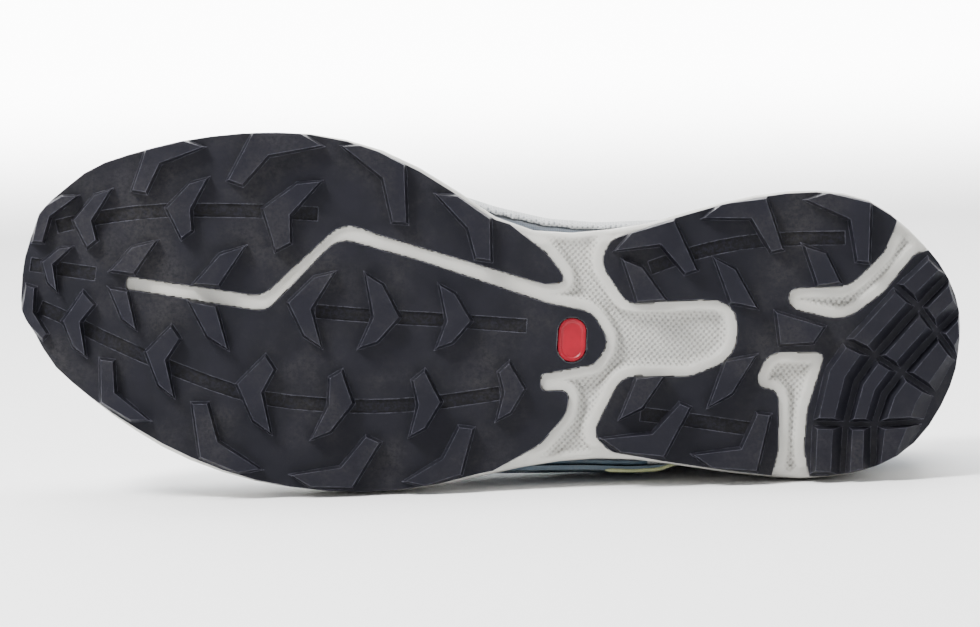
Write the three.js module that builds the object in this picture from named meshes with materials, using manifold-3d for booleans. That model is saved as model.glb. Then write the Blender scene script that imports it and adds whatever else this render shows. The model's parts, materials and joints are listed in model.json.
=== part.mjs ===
// A right trail running shoe lying on its outer side, in millimetres with +Z up.
// Shoe axes: x runs from toe to heel, y towards the outer side, z from the ground to the foot.
import * as THREE from 'three';
import { mergeVertices } from 'three/addons/utils/BufferGeometryUtils.js';
import Module from 'manifold-3d';

const wasm = await Module();
wasm.setup();

// Driving sizes
const SOLE_LENGTH = 300;
const BALL_WIDTH = 112;
const INSTEP_HEIGHT = 104;
const HEEL_HEIGHT = 98;
const TONGUE_HEIGHT = 124;
const ANKLE_DIP = 22;
const HEEL_STACK = 27;
const FOREFOOT_STACK = 20;
const TOE_SPRING = 13;
const HEEL_SPRING = 5;
const LUG_DEPTH = 4;
const LUG_DRAFT = 1.1;
const RIDGE_DRAFT = 1.8;
const RUBBER_SHEET = 2.4;
const STRIP_WIDTH = 4.4;
const STRIP_DEPTH = 0.6;
const ARCH_RECESS = 2.2;
const CUP_DEPTH = 9;
const WING_TUCK = 10;
const UPPER_WALL = 2.2;
const OVERLAY = 1.4;
const TONGUE_THICKNESS = 5;
const INSOLE_THICKNESS = 3.5;
const PLUG_WIDTH = 9;
const PLUG_LENGTH = 14;
const PLUG_THICKNESS = 1.6;
const LACE_WIDTH = 5;
const LACE_THICKNESS = 2.2;
const EYELET_BORE = 4.4;
const EYELET_ROWS = 5;
const CLEARANCE = 0.3;
const SKIN_GAP = 0.4;
const SHARE = 0.001;

// Where the parts of the shoe lie, in thousandths of the sole length from the toe
const TOE_SPRING_END = 270;
const HEEL_SPRING_START = 905;
const BALL_STATION = 330;
const HEEL_STATION = 800;
const COLLAR_FRONT = 575;
const COLLAR_LOW = 760;
const COLLAR_BACK = 965;
const WAIST_STATION = 600;
const TONGUE_TOP = 630;
const UPPER_TOE = 17;
const UPPER_HEEL = 987;
const HEEL_CURVE_START = 800;
const HEEL_END = 1000;
const EYELET_FRONT = 358;
const EYELET_BACK = 548;
const EYESTAY_LEAD = 32;
const PLUG_STATION = 589;
const PLUG_SIDE = 64;

// How some forms are shared out
const TOE_THINNING = 0.8;
const HEEL_LEAN = 24;
const FLOOR_SHARE = 0.97;
const OPEN_DEPTH = 20;
const TONGUE_SHARE = 0.9;
const TONGUE_DROP = 0.55;
const COLLAR_STEP = 4;
const COLLAR_DIVE = [0.55, 0.85];
const COLLAR_CLIMB = 0.6;
const EYELET_INSET = 6;
const EYELET_REACH = 24;
const LACE_LIFT = 0.5;
const ELBOW_SHARE = 0.66;
const ELBOW_BOW = 0.12;
const RIDGE_TOP_FROM = 0.2;
const RIDGE_TOP_TO = 0.62;
const RIDGE_FOOT = 0.03;
const RIDGE_GAP = 0.5;
const CORNER_SHARE = 0.48;
const MITRE_LIMIT = 0.4;
const SMALLEST_PAD = 2000;
const SETTLING_ROUNDS = 6;
const RIM_REACH = 30;
const WELD = 1e-4;

// How finely round forms are divided
const SOLE_STATIONS = 38;
const UPPER_STATIONS = 28;
const UPPER_GIRTH = 17;
const CORNER_STEPS = 4;
const BAND_STEPS = 2;
const PLUG_STEPS = 6;
const THROAT_STEPS = 6;
const COLLAR_STEPS = 14;
const EYELET_SIDES = 6;
const LACE_STEPS = 4;
const LACE_SIDES = 6;

// Sole outline: station in thousandths of the length, edges in thousandths of the ball width,
// and how far the foam stands out past the rubber on each side, in the same share
const OUTLINE = {
  columns: ['station', 'medial', 'lateral', 'medialFlare', 'lateralFlare'],
  rows: [
    [0, -30, 40, 0, 0],
    [5, -118, 88, 0, 0],
    [15, -205, 125, 0, 0],
    [40, -280, 222, 0, 0],
    [70, -346, 286, 0, 0],
    [120, -400, 370, 0, 4],
    [180, -446, 448, 0, 7],
    [250, -473, 507, 0, 3],
    [320, -470, 531, 2, 0],
    [390, -422, 527, 8, 0],
    [450, -341, 499, 10, 5],
    [505, -259, 454, 6, 8],
    [555, -235, 421, 0, 4],
    [610, -249, 396, 0, 2],
    [665, -273, 388, 7, 4],
    [720, -328, 400, 7, 4],
    [780, -373, 412, 6, 4],
    [840, -396, 415, 4, 4],
    [895, -378, 393, 3, 2],
    [930, -322, 356, 2, 0],
    [962, -250, 288, 0, 0],
    [984, -176, 193, 0, 0],
    [996, -105, 108, 0, 0],
    [1000, -40, 30, 0, 0],
  ],
};

// Upper sections: widest points and crown. Heights are thousandths of the instep height,
// and fullness is low where the section is round and high where it narrows to its crown.
const SECTIONS = {
  columns: ['station', 'medial', 'lateral', 'widest', 'crown', 'crownSide', 'fullness'],
  rows: [
    [0, -60, 70, 330, 400, 5, 0.9],
    [8, -180, 125, 325, 455, 0, 0.9],
    [30, -268, 205, 310, 500, -10, 0.85],
    [75, -345, 290, 295, 545, -20, 0.85],
    [140, -398, 385, 290, 580, -30, 0.9],
    [220, -432, 460, 290, 625, -30, 0.95],
    [300, -436, 488, 295, 690, -25, 1.0],
    [380, -398, 482, 320, 775, -20, 1.08],
    [450, -338, 455, 350, 860, -15, 1.15],
    [510, -300, 448, 385, 945, -10, 1.15],
    [570, -278, 436, 400, 1040, 0, 1.1],
    [620, -280, 427, 400, 1200, 0, 0.95],
    [690, -300, 420, 400, 1330, 0, 0.8],
    [760, -318, 390, 420, 1370, 0, 0.75],
    [840, -338, 366, 420, 1370, 0, 0.75],
    [910, -318, 338, 420, 1370, 0, 0.8],
    [955, -262, 275, 420, 1370, 0, 0.85],
    [985, -170, 180, 420, 1370, 0, 0.9],
    [1000, -70, 75, 420, 1370, 0, 0.9],
  ],
};

// Chevron lugs: nose, tip of arm A, notch and end of arm B as station and side, then the arm widths.
// An arm of no width runs to a point.
const CHEVRONS = {
  columns: ['nose', 'tipA', 'notch', 'tipB', 'widthA', 'widthB'],
  forefoot: [
    [[2, 88], [10, 4], [14, 75], [28, 141], 23, 17],
    [[15, -216], [54, -262], [26, -201], [15, -128], 0, 26],
    [[126, -404], [186, -422], [141, -370], [121, -287], 0, 37],
    [[239, -470], [311, -445], [256, -410], [223, -328], 0, 40],
    [[400, -404], [335, -446], [379, -364], [399, -242], 0, 37],
    [[494, -265], [437, -325], [472, -236], [490, -151], 0, 40],
    [[22, -69], [51, -116], [32, -65], [38, 8], 0, 0],
    [[53, -193], [90, -285], [71, -196], [73, -131], 0, 31],
    [[152, -243], [192, -332], [176, -244], [174, -173], 0, 34],
    [[254, -256], [312, -342], [282, -244], [277, -154], 0, 45],
    [[287, 6], [332, -86], [310, 20], [323, 123], 0, 0],
    [[404, 28], [367, -86], [378, 32], [365, 119], 0, 0],
    [[480, 27], [446, -67], [456, 31], [447, 106], 0, 0],
    [[48, 95], [73, 28], [65, 95], [73, 188], 45, 0],
    [[139, 169], [168, 110], [159, 189], [170, 290], 40, 0],
    [[238, 245], [270, 180], [263, 264], [275, 376], 43, 0],
    [[360, 280], [341, 203], [336, 289], [320, 386], 37, 0],
    [[453, 262], [429, 192], [431, 274], [424, 361], 40, 0],
    [[541, 211], [519, 155], [521, 223], [515, 301], 37, 0],
    [[94, 319], [145, 362], [107, 291], [97, 201], 0, 34],
    [[203, 458], [266, 482], [220, 413], [199, 308], 0, 40],
    [[365, 518], [301, 494], [352, 466], [384, 381], 0, 40],
    [[479, 463], [422, 492], [460, 423], [482, 332], 0, 37],
  ],
  heel: [
    [[689, -290], [630, -198], [677, -223], [710, -151], 0, 31],
    [[785, -368], [721, -304], [771, -312], [800, -225], 0, 31],
    [[896, -374], [829, -372], [876, -325], [892, -208], 0, 31],
    [[693, 378], [628, 340], [680, 318], [712, 233], 0, 28],
    [[792, 403], [725, 370], [775, 346], [796, 245], 0, 34],
  ],
};

// Four-cornered lugs
const BLADES = {
  columns: ['corner1', 'corner2', 'corner3', 'corner4'],
  forefoot: [
    [[141, -145], [117, -124], [97, -58], [120, -53]],
    [[125, 103], [111, 77], [96, -4], [114, 2]],
    [[236, -145], [211, -118], [187, -35], [211, -33]],
    [[224, 144], [203, 113], [182, 20], [209, 30]],
  ],
  heel: [
    [[639, -169], [658, -152], [684, -67], [656, -57]],
    [[735, -189], [757, -161], [781, -60], [755, -70]],
    [[830, -238], [852, -222], [868, -145], [846, -133]],
    [[804, -46], [854, -14], [844, 30], [810, 41]],
    [[738, 229], [761, 188], [783, 80], [753, 101]],
    [[645, 278], [667, 243], [688, 151], [660, 164]],
  ],
};

// Rear heel block: each row is one crossing line, with its points on the four curves that bound the ridges
const RIDGES = {
  columns: ['inner', 'groove1', 'groove2', 'outer'],
  rows: [
    [[961, -245], [986, -183], [1000, -86], [1003, 14]],
    [[926, -148], [955, -87], [976, -19], [1001, 62]],
    [[875, 19], [912, 59], [940, 100], [982, 165]],
    [[856, 102], [894, 136], [923, 166], [977, 197]],
    [[846, 260], [885, 257], [914, 253], [973, 235]],
    [[847, 411], [885, 411], [916, 389], [949, 335]],
  ],
  blocks: [[0, 1], [1, 2], [2, 4], [4, 5]],
};

// Openings in the rubber: station, side and corner radius
const WINDOWS = {
  columns: ['station', 'side', 'radius'],
  groove: [
    [455, -370, 0], [557, -176, 114], [581, -100, 23], [557, -90, 17], [379, -202, 85],
    [339, -235, 91], [258, -9, 74], [113, -43, 9], [111, -6, 11], [263, 36, 68],
    [335, -186, 80], [423, -135, 170], [563, -34, 85], [608, -18, 68], [629, 64, 62],
    [614, 129, 40], [558, 166, 14], [558, 217, 23], [590, 207, 28], [587, 275, 68],
    [561, 365, 85], [490, 490, 0], [630, 571, 0], [750, 466, 0], [722, 402, 0],
    [638, 376, 45], [617, 328, 40], [644, 158, 74], [716, 150, 97], [766, 88, 114],
    [762, -85, 97], [675, -57, 114], [646, -47, 57], [614, -162, 68], [625, -226, 51],
    [706, -322, 0], [672, -433, 0],
  ],
  medialChannel: [
    [924, -401, 0], [926, -325, 28], [914, -237, 85], [880, -135, 102], [815, -119, 34],
    [816, -62, 45], [877, -32, 125], [917, -124, 114], [947, -234, 45], [973, -264, 0],
    [992, -355, 0],
  ],
  lateralChannel: [
    [787, 141, 23], [797, 66, 68], [859, 56, 23], [843, 224, 114], [842, 338, 114],
    [853, 450, 0], [806, 457, 0], [814, 342, 85], [811, 175, 45], [791, 169, 23],
  ],
};

// Shallow worn-in strips of the rubber: centre lines as station and side
const STRIPS = {
  columns: ['station', 'side'],
  forefoot: [
    [[34, -173], [81, -206], [150, -236], [252, -250], [312, -251]],
    [[8, -61], [44, -52], [79, -44]],
    [[315, 25], [375, 29], [448, 29], [540, 32]],
    [[21, 59], [47, 84], [104, 149], [197, 237], [264, 280],
      [334, 289], [395, 283], [453, 262], [516, 227]],
  ],
  heel: [
    [[667, -153], [709, -199], [761, -239], [814, -259], [872, -271]],
    [[666, 263], [719, 272], [783, 287]],
  ],
};

// Recess of the foam under the arch, as station, side and corner radius
const ARCH = {
  columns: ['station', 'side', 'radius'],
  recess: [
    [570, -200, 40], [602, -200, 40], [601, -148, 60], [634, -28, 60], [736, -38, 80], [752, 25, 100],
    [734, 87, 80], [655, 104, 40], [644, 61, 60], [620, -46, 40], [594, -107, 40],
  ],
};

// Side wall of the foam from its lower edge to its rim: rise as a share of the wall's height,
// and how far it stands out, in thousandths of the ball width
const SIDE_WALL = {
  columns: ['rise', 'out'],
  rows: [
    [0, -9],
    [60, 0],
    [340, 3],
    [400, -11],
    [470, -11],
    [530, 0],
    [780, -6],
    [1000, -32],
  ],
};

// Side views of the openings and overlays: station and height in thousandths of the instep height
const SIDE_VIEWS = {
  columns: ['station', 'height'],
  toeCap: [[-30, 0], [-30, 470], [50, 470], [120, 400], [190, 345], [235, 330], [235, 0]],
  heelCounter: [[825, 0], [842, 420], [895, 560], [935, 800], [965, 845], [1030, 845], [1030, 0]],
  wing: [[488, 0], [452, 560], [430, 880], [560, 1100], [622, 760], [735, 0]],
};

// Throat and eyestay in plan: station and half width in thousandths of the ball width
const THROAT = {
  columns: ['station', 'opening', 'eyestay'],
  rows: [
    [335, 35, 130],
    [365, 78, 200],
    [450, 98, 218],
    [540, 125, 232],
    [640, 160, 240],
    [690, 175, 250],
  ],
};

const TREAD_COLOUR = 0x3a3a42;
const FOAM_COLOUR = 0xd9d8d3;
const MESH_COLOUR = 0xc9cbcc;
const OVERLAY_COLOUR = 0x6d7f8c;
const LINING_COLOUR = 0x4a525a;
const ACCENT_COLOUR = 0xb33a44;
const LACE_COLOUR = 0xc8d08c;

const RUBBER_ROUGHNESS = 0.7;
const FOAM_ROUGHNESS = 0.8;
const GLOSS_ROUGHNESS = 0.5;
const FILM_ROUGHNESS = 0.6;
const CLOTH_ROUGHNESS = 0.9;

const clamp = (value, low, high) => Math.min(high, Math.max(low, value));
const lerp = (start, end, t) => start + (end - start) * t;
const ease = (t) => clamp(t, 0, 1) ** 2 * (3 - 2 * clamp(t, 0, 1));
const along = (station) => station * SHARE * SOLE_LENGTH;
const across = (side) => side * SHARE * BALL_WIDTH;
const up = (height) => height * SHARE * INSTEP_HEIGHT;

// Smooth reading of one column of a table. Stations are spaced by their angle on a half circle,
// so that the edges turn round at toe and heel.
function column(table, name) {
  const index = table.columns.indexOf(name);
  const angle = (station) => Math.acos(1 - 2 * clamp(station * SHARE, 0, 1));
  const knots = table.rows.map((row) => ({ at: angle(row[0]), value: row[index] }));
  const slopes = knots.map((knot, i) => {
    const before = knots[Math.max(0, i - 1)];
    const after = knots[Math.min(knots.length - 1, i + 1)];
    return (after.value - before.value) / (after.at - before.at);
  });
  return (station) => {
    const at = clamp(angle(station), knots[0].at, knots[knots.length - 1].at);
    const i = clamp(knots.findIndex((knot) => knot.at >= at) - 1, 0, knots.length - 2);
    const span = knots[i + 1].at - knots[i].at;
    const t = (at - knots[i].at) / span;
    const rise = knots[i + 1].value - knots[i].value;
    const bend = t * (1 - t) * ((1 - t) * (slopes[i] * span - rise) - t * (slopes[i + 1] * span - rise));
    return lerp(knots[i].value, knots[i + 1].value, t) + bend;
  };
}

const outlineMedial = column(OUTLINE, 'medial');
const outlineLateral = column(OUTLINE, 'lateral');
const flareMedial = column(OUTLINE, 'medialFlare');
const flareLateral = column(OUTLINE, 'lateralFlare');
const sectionMedial = column(SECTIONS, 'medial');
const sectionLateral = column(SECTIONS, 'lateral');
const sectionWidest = column(SECTIONS, 'widest');
const sectionCrown = column(SECTIONS, 'crown');
const sectionCrownSide = column(SECTIONS, 'crownSide');
const sectionFullness = column(SECTIONS, 'fullness');

// Heights along the shoe
const stationOf = (x) => x / SOLE_LENGTH / SHARE;
const toeRise = (x) => TOE_SPRING * clamp(1 - stationOf(x) / TOE_SPRING_END, 0, 1) ** 2;
const heelShare = (x) => clamp((stationOf(x) - HEEL_SPRING_START) / (HEEL_END - HEEL_SPRING_START), 0, 1);
const heelRise = (x) => HEEL_SPRING * heelShare(x) ** 2;
const ground = (x) => toeRise(x) + heelRise(x);
const sheetFace = (x) => ground(x) + LUG_DEPTH;
const sheetBack = (x) => sheetFace(x) + RUBBER_SHEET;
const foamBase = (x) => sheetBack(x) + CLEARANCE;
const footbed = (x) => {
  const t = ease((stationOf(x) - BALL_STATION) / (HEEL_STATION - BALL_STATION));
  return lerp(FOREFOOT_STACK, HEEL_STACK, t) + toeRise(x) * TOE_THINNING;
};
const rim = (x) => footbed(x) + CUP_DEPTH;

// A closed mesh from vertices and triangles, turned so that its faces point outwards
function solidFrom(vertices, triangles) {
  let volume = 0;
  for (const [a, b, c] of triangles) {
    const [first, second, third] = [a, b, c].map((i) => new THREE.Vector3(...vertices[i]));
    volume += first.dot(second.cross(third));
  }
  const turned = volume < 0 ? triangles.map(([a, b, c]) => [a, c, b]) : triangles;
  const vertProperties = new Float32Array(vertices.flat());
  const triVerts = new Uint32Array(turned.flat());
  return new wasm.Manifold(new wasm.Mesh({ numProp: 3, vertProperties, triVerts }));
}

function solidOf(geometry) {
  const bare = geometry.clone();
  bare.deleteAttribute('normal');
  bare.deleteAttribute('uv');
  const merged = mergeVertices(bare, WELD);
  const vertProperties = new Float32Array(merged.attributes.position.array);
  const triVerts = new Uint32Array(merged.index.array);
  return new wasm.Manifold(new wasm.Mesh({ numProp: 3, vertProperties, triVerts }));
}

// Cap of a ring whose points face each other in pairs across it
function pairedCap(ring) {
  const last = ring.length - 1;
  const faces = [];
  for (let i = 0; i < ring.length / 2 - 1; i += 1) {
    faces.push([i, i + 1, last - i - 1], [i, last - i - 1, last - i]);
  }
  return faces;
}

const flat = (outline) => outline.map(([x, y]) => new THREE.Vector2(x, y));
const area = (outline) => THREE.ShapeUtils.area(flat(outline));

// Cap of a ring of any outline, seen in plan
function planCap(ring) {
  const faces = THREE.ShapeUtils.triangulateShape(flat(ring), []);
  return area(ring) < 0 ? faces.map(([a, b, c]) => [a, c, b]) : faces;
}

// Closed solid through rings with the same number of points
function loft(rings, cap) {
  const count = rings[0].length;
  const triangles = [];
  for (let k = 0; k < rings.length - 1; k += 1) {
    for (let i = 0; i < count; i += 1) {
      const j = (i + 1) % count;
      const low = k * count;
      const high = low + count;
      triangles.push([low + i, low + j, high + j], [low + i, high + j, high + i]);
    }
  }
  const top = (rings.length - 1) * count;
  for (const [a, b, c] of cap(rings[0])) {
    triangles.push([a, c, b]);
    triangles.push([top + a, top + b, top + c]);
  }
  return solidFrom(rings.flat(), triangles);
}

// Moves each side of a plan outline outwards, or inwards where the distance is negative
function offset(outline, distance) {
  const turn = Math.sign(area(outline));
  const normal = (from, to) => {
    const edge = new THREE.Vector2(to[0] - from[0], to[1] - from[1]).normalize();
    return new THREE.Vector2(edge.y, -edge.x).multiplyScalar(turn);
  };
  return outline.map((point, i) => {
    const before = normal(outline[(i + outline.length - 1) % outline.length], point);
    const after = normal(point, outline[(i + 1) % outline.length]);
    const mitre = before.clone().add(after);
    const reach = distance / Math.max(MITRE_LIMIT, mitre.lengthSq() / 2);
    return [point[0] + mitre.x * reach, point[1] + mitre.y * reach];
  });
}

// Rounds the corners of an outline given as station, side and corner radius
function rounded(rows) {
  const corners = rows.map(([station, side, radius]) => ({
    at: new THREE.Vector2(along(station), across(side)),
    radius: across(radius),
  }));
  return corners.flatMap(({ at, radius }, i) => {
    const before = corners[(i + corners.length - 1) % corners.length].at;
    const after = corners[(i + 1) % corners.length].at;
    const angle = Math.abs(before.clone().sub(at).angleTo(after.clone().sub(at)));
    if (radius === 0) {
      return [[at.x, at.y]];
    }
    const wanted = radius / Math.tan(angle / 2);
    const trim = (end) => Math.min(wanted, at.distanceTo(end) * CORNER_SHARE);
    const start = at.clone().lerp(before, trim(before) / at.distanceTo(before));
    const stop = at.clone().lerp(after, trim(after) / at.distanceTo(after));
    const bend = new THREE.QuadraticBezierCurve(start, at, stop);
    return bend.getPoints(CORNER_STEPS).map((point) => [point.x, point.y]);
  });
}

// Solid over a plan outline between two heights that follow the shoe; grow widens its upper end
function slab(outline, low, high, grow = 0, cap = planCap) {
  const upper = grow === 0 ? outline : offset(outline, grow);
  return loft([
    outline.map(([x, y]) => [x, y, low(x)]),
    upper.map(([x, y]) => [x, y, high(x)]),
  ], cap);
}

// Upright cutter over a plan outline
const prism = (outline) => slab(outline, () => -SOLE_LENGTH, () => SOLE_LENGTH);

// Cutter through the shoe from side to side, over an outline in side view
function sideCutter(points, from = -SOLE_LENGTH, to = SOLE_LENGTH) {
  const shape = new THREE.Shape(points.map(([x, z]) => new THREE.Vector2(x, z)));
  const geometry = new THREE.ExtrudeGeometry(shape, { depth: to - from, bevelEnabled: false });
  geometry.rotateX(Math.PI / 2);
  geometry.translate(0, to, 0);
  return solidOf(geometry);
}

const sideView = (rows) => rows.map(([station, height]) => [along(station), up(height)]);

// Stations crowded towards toe and heel
function stations(count) {
  return Array.from({ length: count + 1 }, (_, i) => (1 - Math.cos((i / count) * Math.PI)) / 2 / SHARE);
}

// Ring of the sole's outline: out gives how far it stands out on each side
function outlineRing(out, height) {
  const row = (edge, sign) => stations(SOLE_STATIONS).map((station) => {
    const grow = out(station, sign);
    const x = along(station) - (1 - 2 * station * SHARE) * grow;
    return [x, edge(station) + sign * grow, height(x)];
  });
  const medial = row((station) => across(outlineMedial(station)), -1);
  const lateral = row((station) => across(outlineLateral(station)), 1);
  return [...medial, ...lateral.reverse()];
}

// Sheet over the whole sole, grown past its outline by a fixed width
function sheet(low, high, grow = 0) {
  return loft([outlineRing(() => grow, low), outlineRing(() => grow, high)], pairedCap);
}

// Chevron outline from its nose, tips, notch and arm widths
function chevron([nose, tipA, notch, tipB, widthA, widthB]) {
  const at = ([station, side]) => new THREE.Vector2(along(station), across(side));
  const [front, inner] = [at(nose), at(notch)];
  const arm = (tip, width) => {
    const run = tip.clone().sub(front);
    const outwards = new THREE.Vector2(-run.y, run.x).normalize();
    if (inner.clone().sub(front).dot(outwards) > 0) {
      outwards.negate();
    }
    const half = across(width) / 2;
    const elbow = front.clone().addScaledVector(run, ELBOW_SHARE);
    return width === 0
      ? [elbow.addScaledVector(outwards, run.length() * ELBOW_BOW), tip]
      : [tip.clone().addScaledVector(outwards, half), tip.clone().addScaledVector(outwards, -half)];
  };
  const armA = arm(at(tipA), widthA);
  const armB = arm(at(tipB), widthB).reverse();
  return [front, ...armA, inner, ...armB].map((point) => [point.x, point.y]);
}

const lugBack = (x) => sheetFace(x) + RUBBER_SHEET / 2;
const lug = (outline) => slab(outline, ground, lugBack, LUG_DRAFT);
const quad = (corners) => corners.map(([station, side]) => [along(station), across(side)]);

// One block of the rear heel ridges, between two bounding curves and two crossing lines
function ridgeBlock(row, [first, last], topFrom, topTo) {
  const line = (share, inset) => {
    const points = RIDGES.rows.slice(first, last + 1).map((crossing) => {
      const [a, b] = [crossing[row], crossing[row + 1]];
      return new THREE.Vector2(along(lerp(a[0], b[0], share)), across(lerp(a[1], b[1], share)));
    });
    const [head, tail] = [points[0], points[points.length - 1]];
    const [second, secondLast] = [points[1], points[points.length - 2]];
    const start = head.clone().lerp(second, inset / head.distanceTo(second));
    const stop = tail.clone().lerp(secondLast, inset / tail.distanceTo(secondLast));
    return [start, ...points.slice(1, -1), stop].map((point) => [point.x, point.y]);
  };
  const ring = (from, to, inset, height) => [...line(from, inset), ...line(to, inset).reverse()]
    .map(([x, y]) => [x, y, height(x)]);
  return loft([
    ring(topFrom, topTo, RIDGE_DRAFT, ground),
    ring(RIDGE_FOOT, 1 - RIDGE_FOOT, RIDGE_GAP, lugBack),
  ], planCap);
}

// Band of a fixed width along a centre line
function band(rows, width) {
  const curve = new THREE.SplineCurve(flat(quad(rows)));
  const count = rows.length * BAND_STEPS;
  const edge = (sign) => curve.getPoints(count).map((point, i) => {
    const tangent = curve.getTangent(i / count);
    return [point.x - sign * tangent.y * width / 2, point.y + sign * tangent.x * width / 2];
  });
  return [...edge(1), ...edge(-1).reverse()];
}

// The upper as a closed form, grown outwards by a distance, down to a floor
function form(grow, floor) {
  const [toe, heel] = [along(UPPER_TOE) - grow, along(UPPER_HEEL) + grow];
  const rings = stations(UPPER_STATIONS).map((station) => {
    const x = lerp(toe, heel, station * SHARE);
    const edges = [across(sectionMedial(station)) - grow, across(sectionLateral(station)) + grow];
    const foot = floor(x);
    const widest = Math.max(up(sectionWidest(station)) + toeRise(x) * TOE_THINNING, footbed(x) + grow);
    const crownHeight = up(sectionCrown(station)) + toeRise(x) * TOE_THINNING + grow;
    const crown = Math.max(crownHeight, widest + grow + UPPER_WALL);
    const side = across(sectionCrownSide(station));
    const fullness = sectionFullness(station);
    const heelCurve = ease((station - HEEL_CURVE_START) / (HEEL_END - HEEL_CURVE_START));
    const domeHeight = up(sectionCrown(station) - sectionWidest(station)) / HEEL_HEIGHT;
    const lean = (rise) => heelCurve * HEEL_LEAN * (rise * domeHeight) ** 2;
    const dome = Array.from({ length: UPPER_GIRTH + 1 }, (_, i) => {
      const angle = (i / UPPER_GIRTH) * Math.PI;
      const spread = Math.abs(Math.cos(angle)) ** fullness;
      const edge = angle < Math.PI / 2 ? edges[1] : edges[0];
      const rise = Math.sin(angle);
      return [x - lean(rise), lerp(side, edge, spread), lerp(widest, crown, rise)];
    });
    const middle = (edges[0] + edges[1]) / 2;
    const spread = 1 - (1 - FLOOR_SHARE) * (widest - foot) / (widest - footbed(x));
    const sole = (edge) => [x, lerp(middle, edge, spread), foot];
    return [sole(edges[1]), ...dome, sole(edges[0])];
  });
  return loft(rings, pairedCap);
}

// Height of the upper's surface, grown by a distance, over a point in plan
function formHeight(x, y, grow) {
  const station = (x - along(UPPER_TOE)) / (along(UPPER_HEEL) - along(UPPER_TOE)) / SHARE;
  const side = across(sectionCrownSide(station));
  const edge = y > side ? across(sectionLateral(station)) : across(sectionMedial(station));
  const spread = clamp((y - side) / (edge - side), 0, 1) ** (1 / sectionFullness(station));
  const widest = up(sectionWidest(station)) + toeRise(x) * TOE_THINNING;
  const crown = up(sectionCrown(station)) + toeRise(x) * TOE_THINNING + grow;
  return lerp(widest, crown, Math.sqrt(1 - spread ** 2));
}

const throatSide = (station) => across(sectionCrownSide(station));
const throatHalf = column(THROAT, 'opening');

// Plan outline of the throat or eyestay, from its front end backwards
function throatOutline(name) {
  const half = column(THROAT, name);
  const [first, last] = [THROAT.rows[0][0], THROAT.rows[THROAT.rows.length - 1][0]];
  const start = name === 'eyestay' ? first - EYESTAY_LEAD : first;
  const edge = (sign) => Array.from({ length: THROAT_STEPS + 1 }, (_, i) => {
    const station = lerp(first, last, i / THROAT_STEPS);
    const from = lerp(start, last, i / THROAT_STEPS);
    return [along(from), throatSide(from) + sign * across(half(station))];
  });
  return [...edge(1), ...edge(-1).reverse()];
}

// Everything above the collar line
function collarCutter() {
  const front = [along(COLLAR_FRONT), up(sectionCrown(COLLAR_FRONT)) - COLLAR_STEP];
  const low = [along(COLLAR_LOW), HEEL_HEIGHT - ANKLE_DIP];
  const back = [along(COLLAR_BACK), HEEL_HEIGHT];
  const curve = new THREE.SplineCurve([
    new THREE.Vector2(...front),
    new THREE.Vector2(lerp(front[0], low[0], COLLAR_DIVE[0]), lerp(front[1], low[1], COLLAR_DIVE[1])),
    new THREE.Vector2(...low),
    new THREE.Vector2(...low).lerp(new THREE.Vector2(...back), COLLAR_CLIMB),
    new THREE.Vector2(...back),
  ]);
  const line = curve.getPoints(COLLAR_STEPS).map((point) => [point.x, point.y]);
  const far = 2 * SOLE_LENGTH;
  return sideCutter([
    [front[0], far], ...line, [far, HEEL_HEIGHT], [far, far],
  ]);
}

const largest = (solid) => solid.decompose().sort((a, b) => b.volume() - a.volume())[0];
const bottom = () => -OPEN_DEPTH;
const deeper = () => -2 * OPEN_DEPTH;
const cupForm = form(CLEARANCE, (x) => footbed(x) - CLEARANCE);
const outerForm = form(0, footbed);
const innerForm = form(-UPPER_WALL, bottom);
const overlayOuter = form(SKIN_GAP + OVERLAY, bottom);
const overlayInner = form(SKIN_GAP, deeper);
const liningForm = form(-UPPER_WALL - CLEARANCE, bottom);
const tongueInner = form(-UPPER_WALL - CLEARANCE - TONGUE_THICKNESS, deeper);
const collar = collarCutter();
const deepest = () => -3 * OPEN_DEPTH;
const belowRim = sheet(deepest, (x) => rim(x) + CLEARANCE, RIM_REACH);
const belowTuck = (gap) => sheet(deepest, (x) => rim(x) - WING_TUCK - gap, RIM_REACH);
const half = (sign) => sideCutter([
  [-SOLE_LENGTH, -SOLE_LENGTH], [2 * SOLE_LENGTH, -SOLE_LENGTH],
  [2 * SOLE_LENGTH, 2 * SOLE_LENGTH], [-SOLE_LENGTH, 2 * SOLE_LENGTH],
], sign > 0 ? CLEARANCE / 2 : -SOLE_LENGTH, sign > 0 ? SOLE_LENGTH : -CLEARANCE / 2);

// Places of the eyelets, on both sides of the throat
const eyelets = Array.from({ length: EYELET_ROWS }, (_, row) => {
  const station = lerp(EYELET_FRONT, EYELET_BACK, row / (EYELET_ROWS - 1));
  return [1, -1].map((sign) => [
    along(station), throatSide(station) + sign * (across(throatHalf(station)) + EYELET_INSET),
  ]);
});

function eyeletCutter([x, y]) {
  const bore = new THREE.CylinderGeometry(EYELET_BORE / 2, EYELET_BORE / 2, EYELET_REACH, EYELET_SIDES);
  bore.rotateX(Math.PI / 2);
  const slope = Math.atan2(y - throatSide(stationOf(x)), EYELET_REACH);
  bore.rotateX(-slope);
  bore.translate(x, y, formHeight(x, y, 0));
  return solidOf(bore);
}

function withEyelets(solid) {
  return eyelets.flat().reduce((rest, place) => rest.subtract(eyeletCutter(place)), solid);
}

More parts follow.
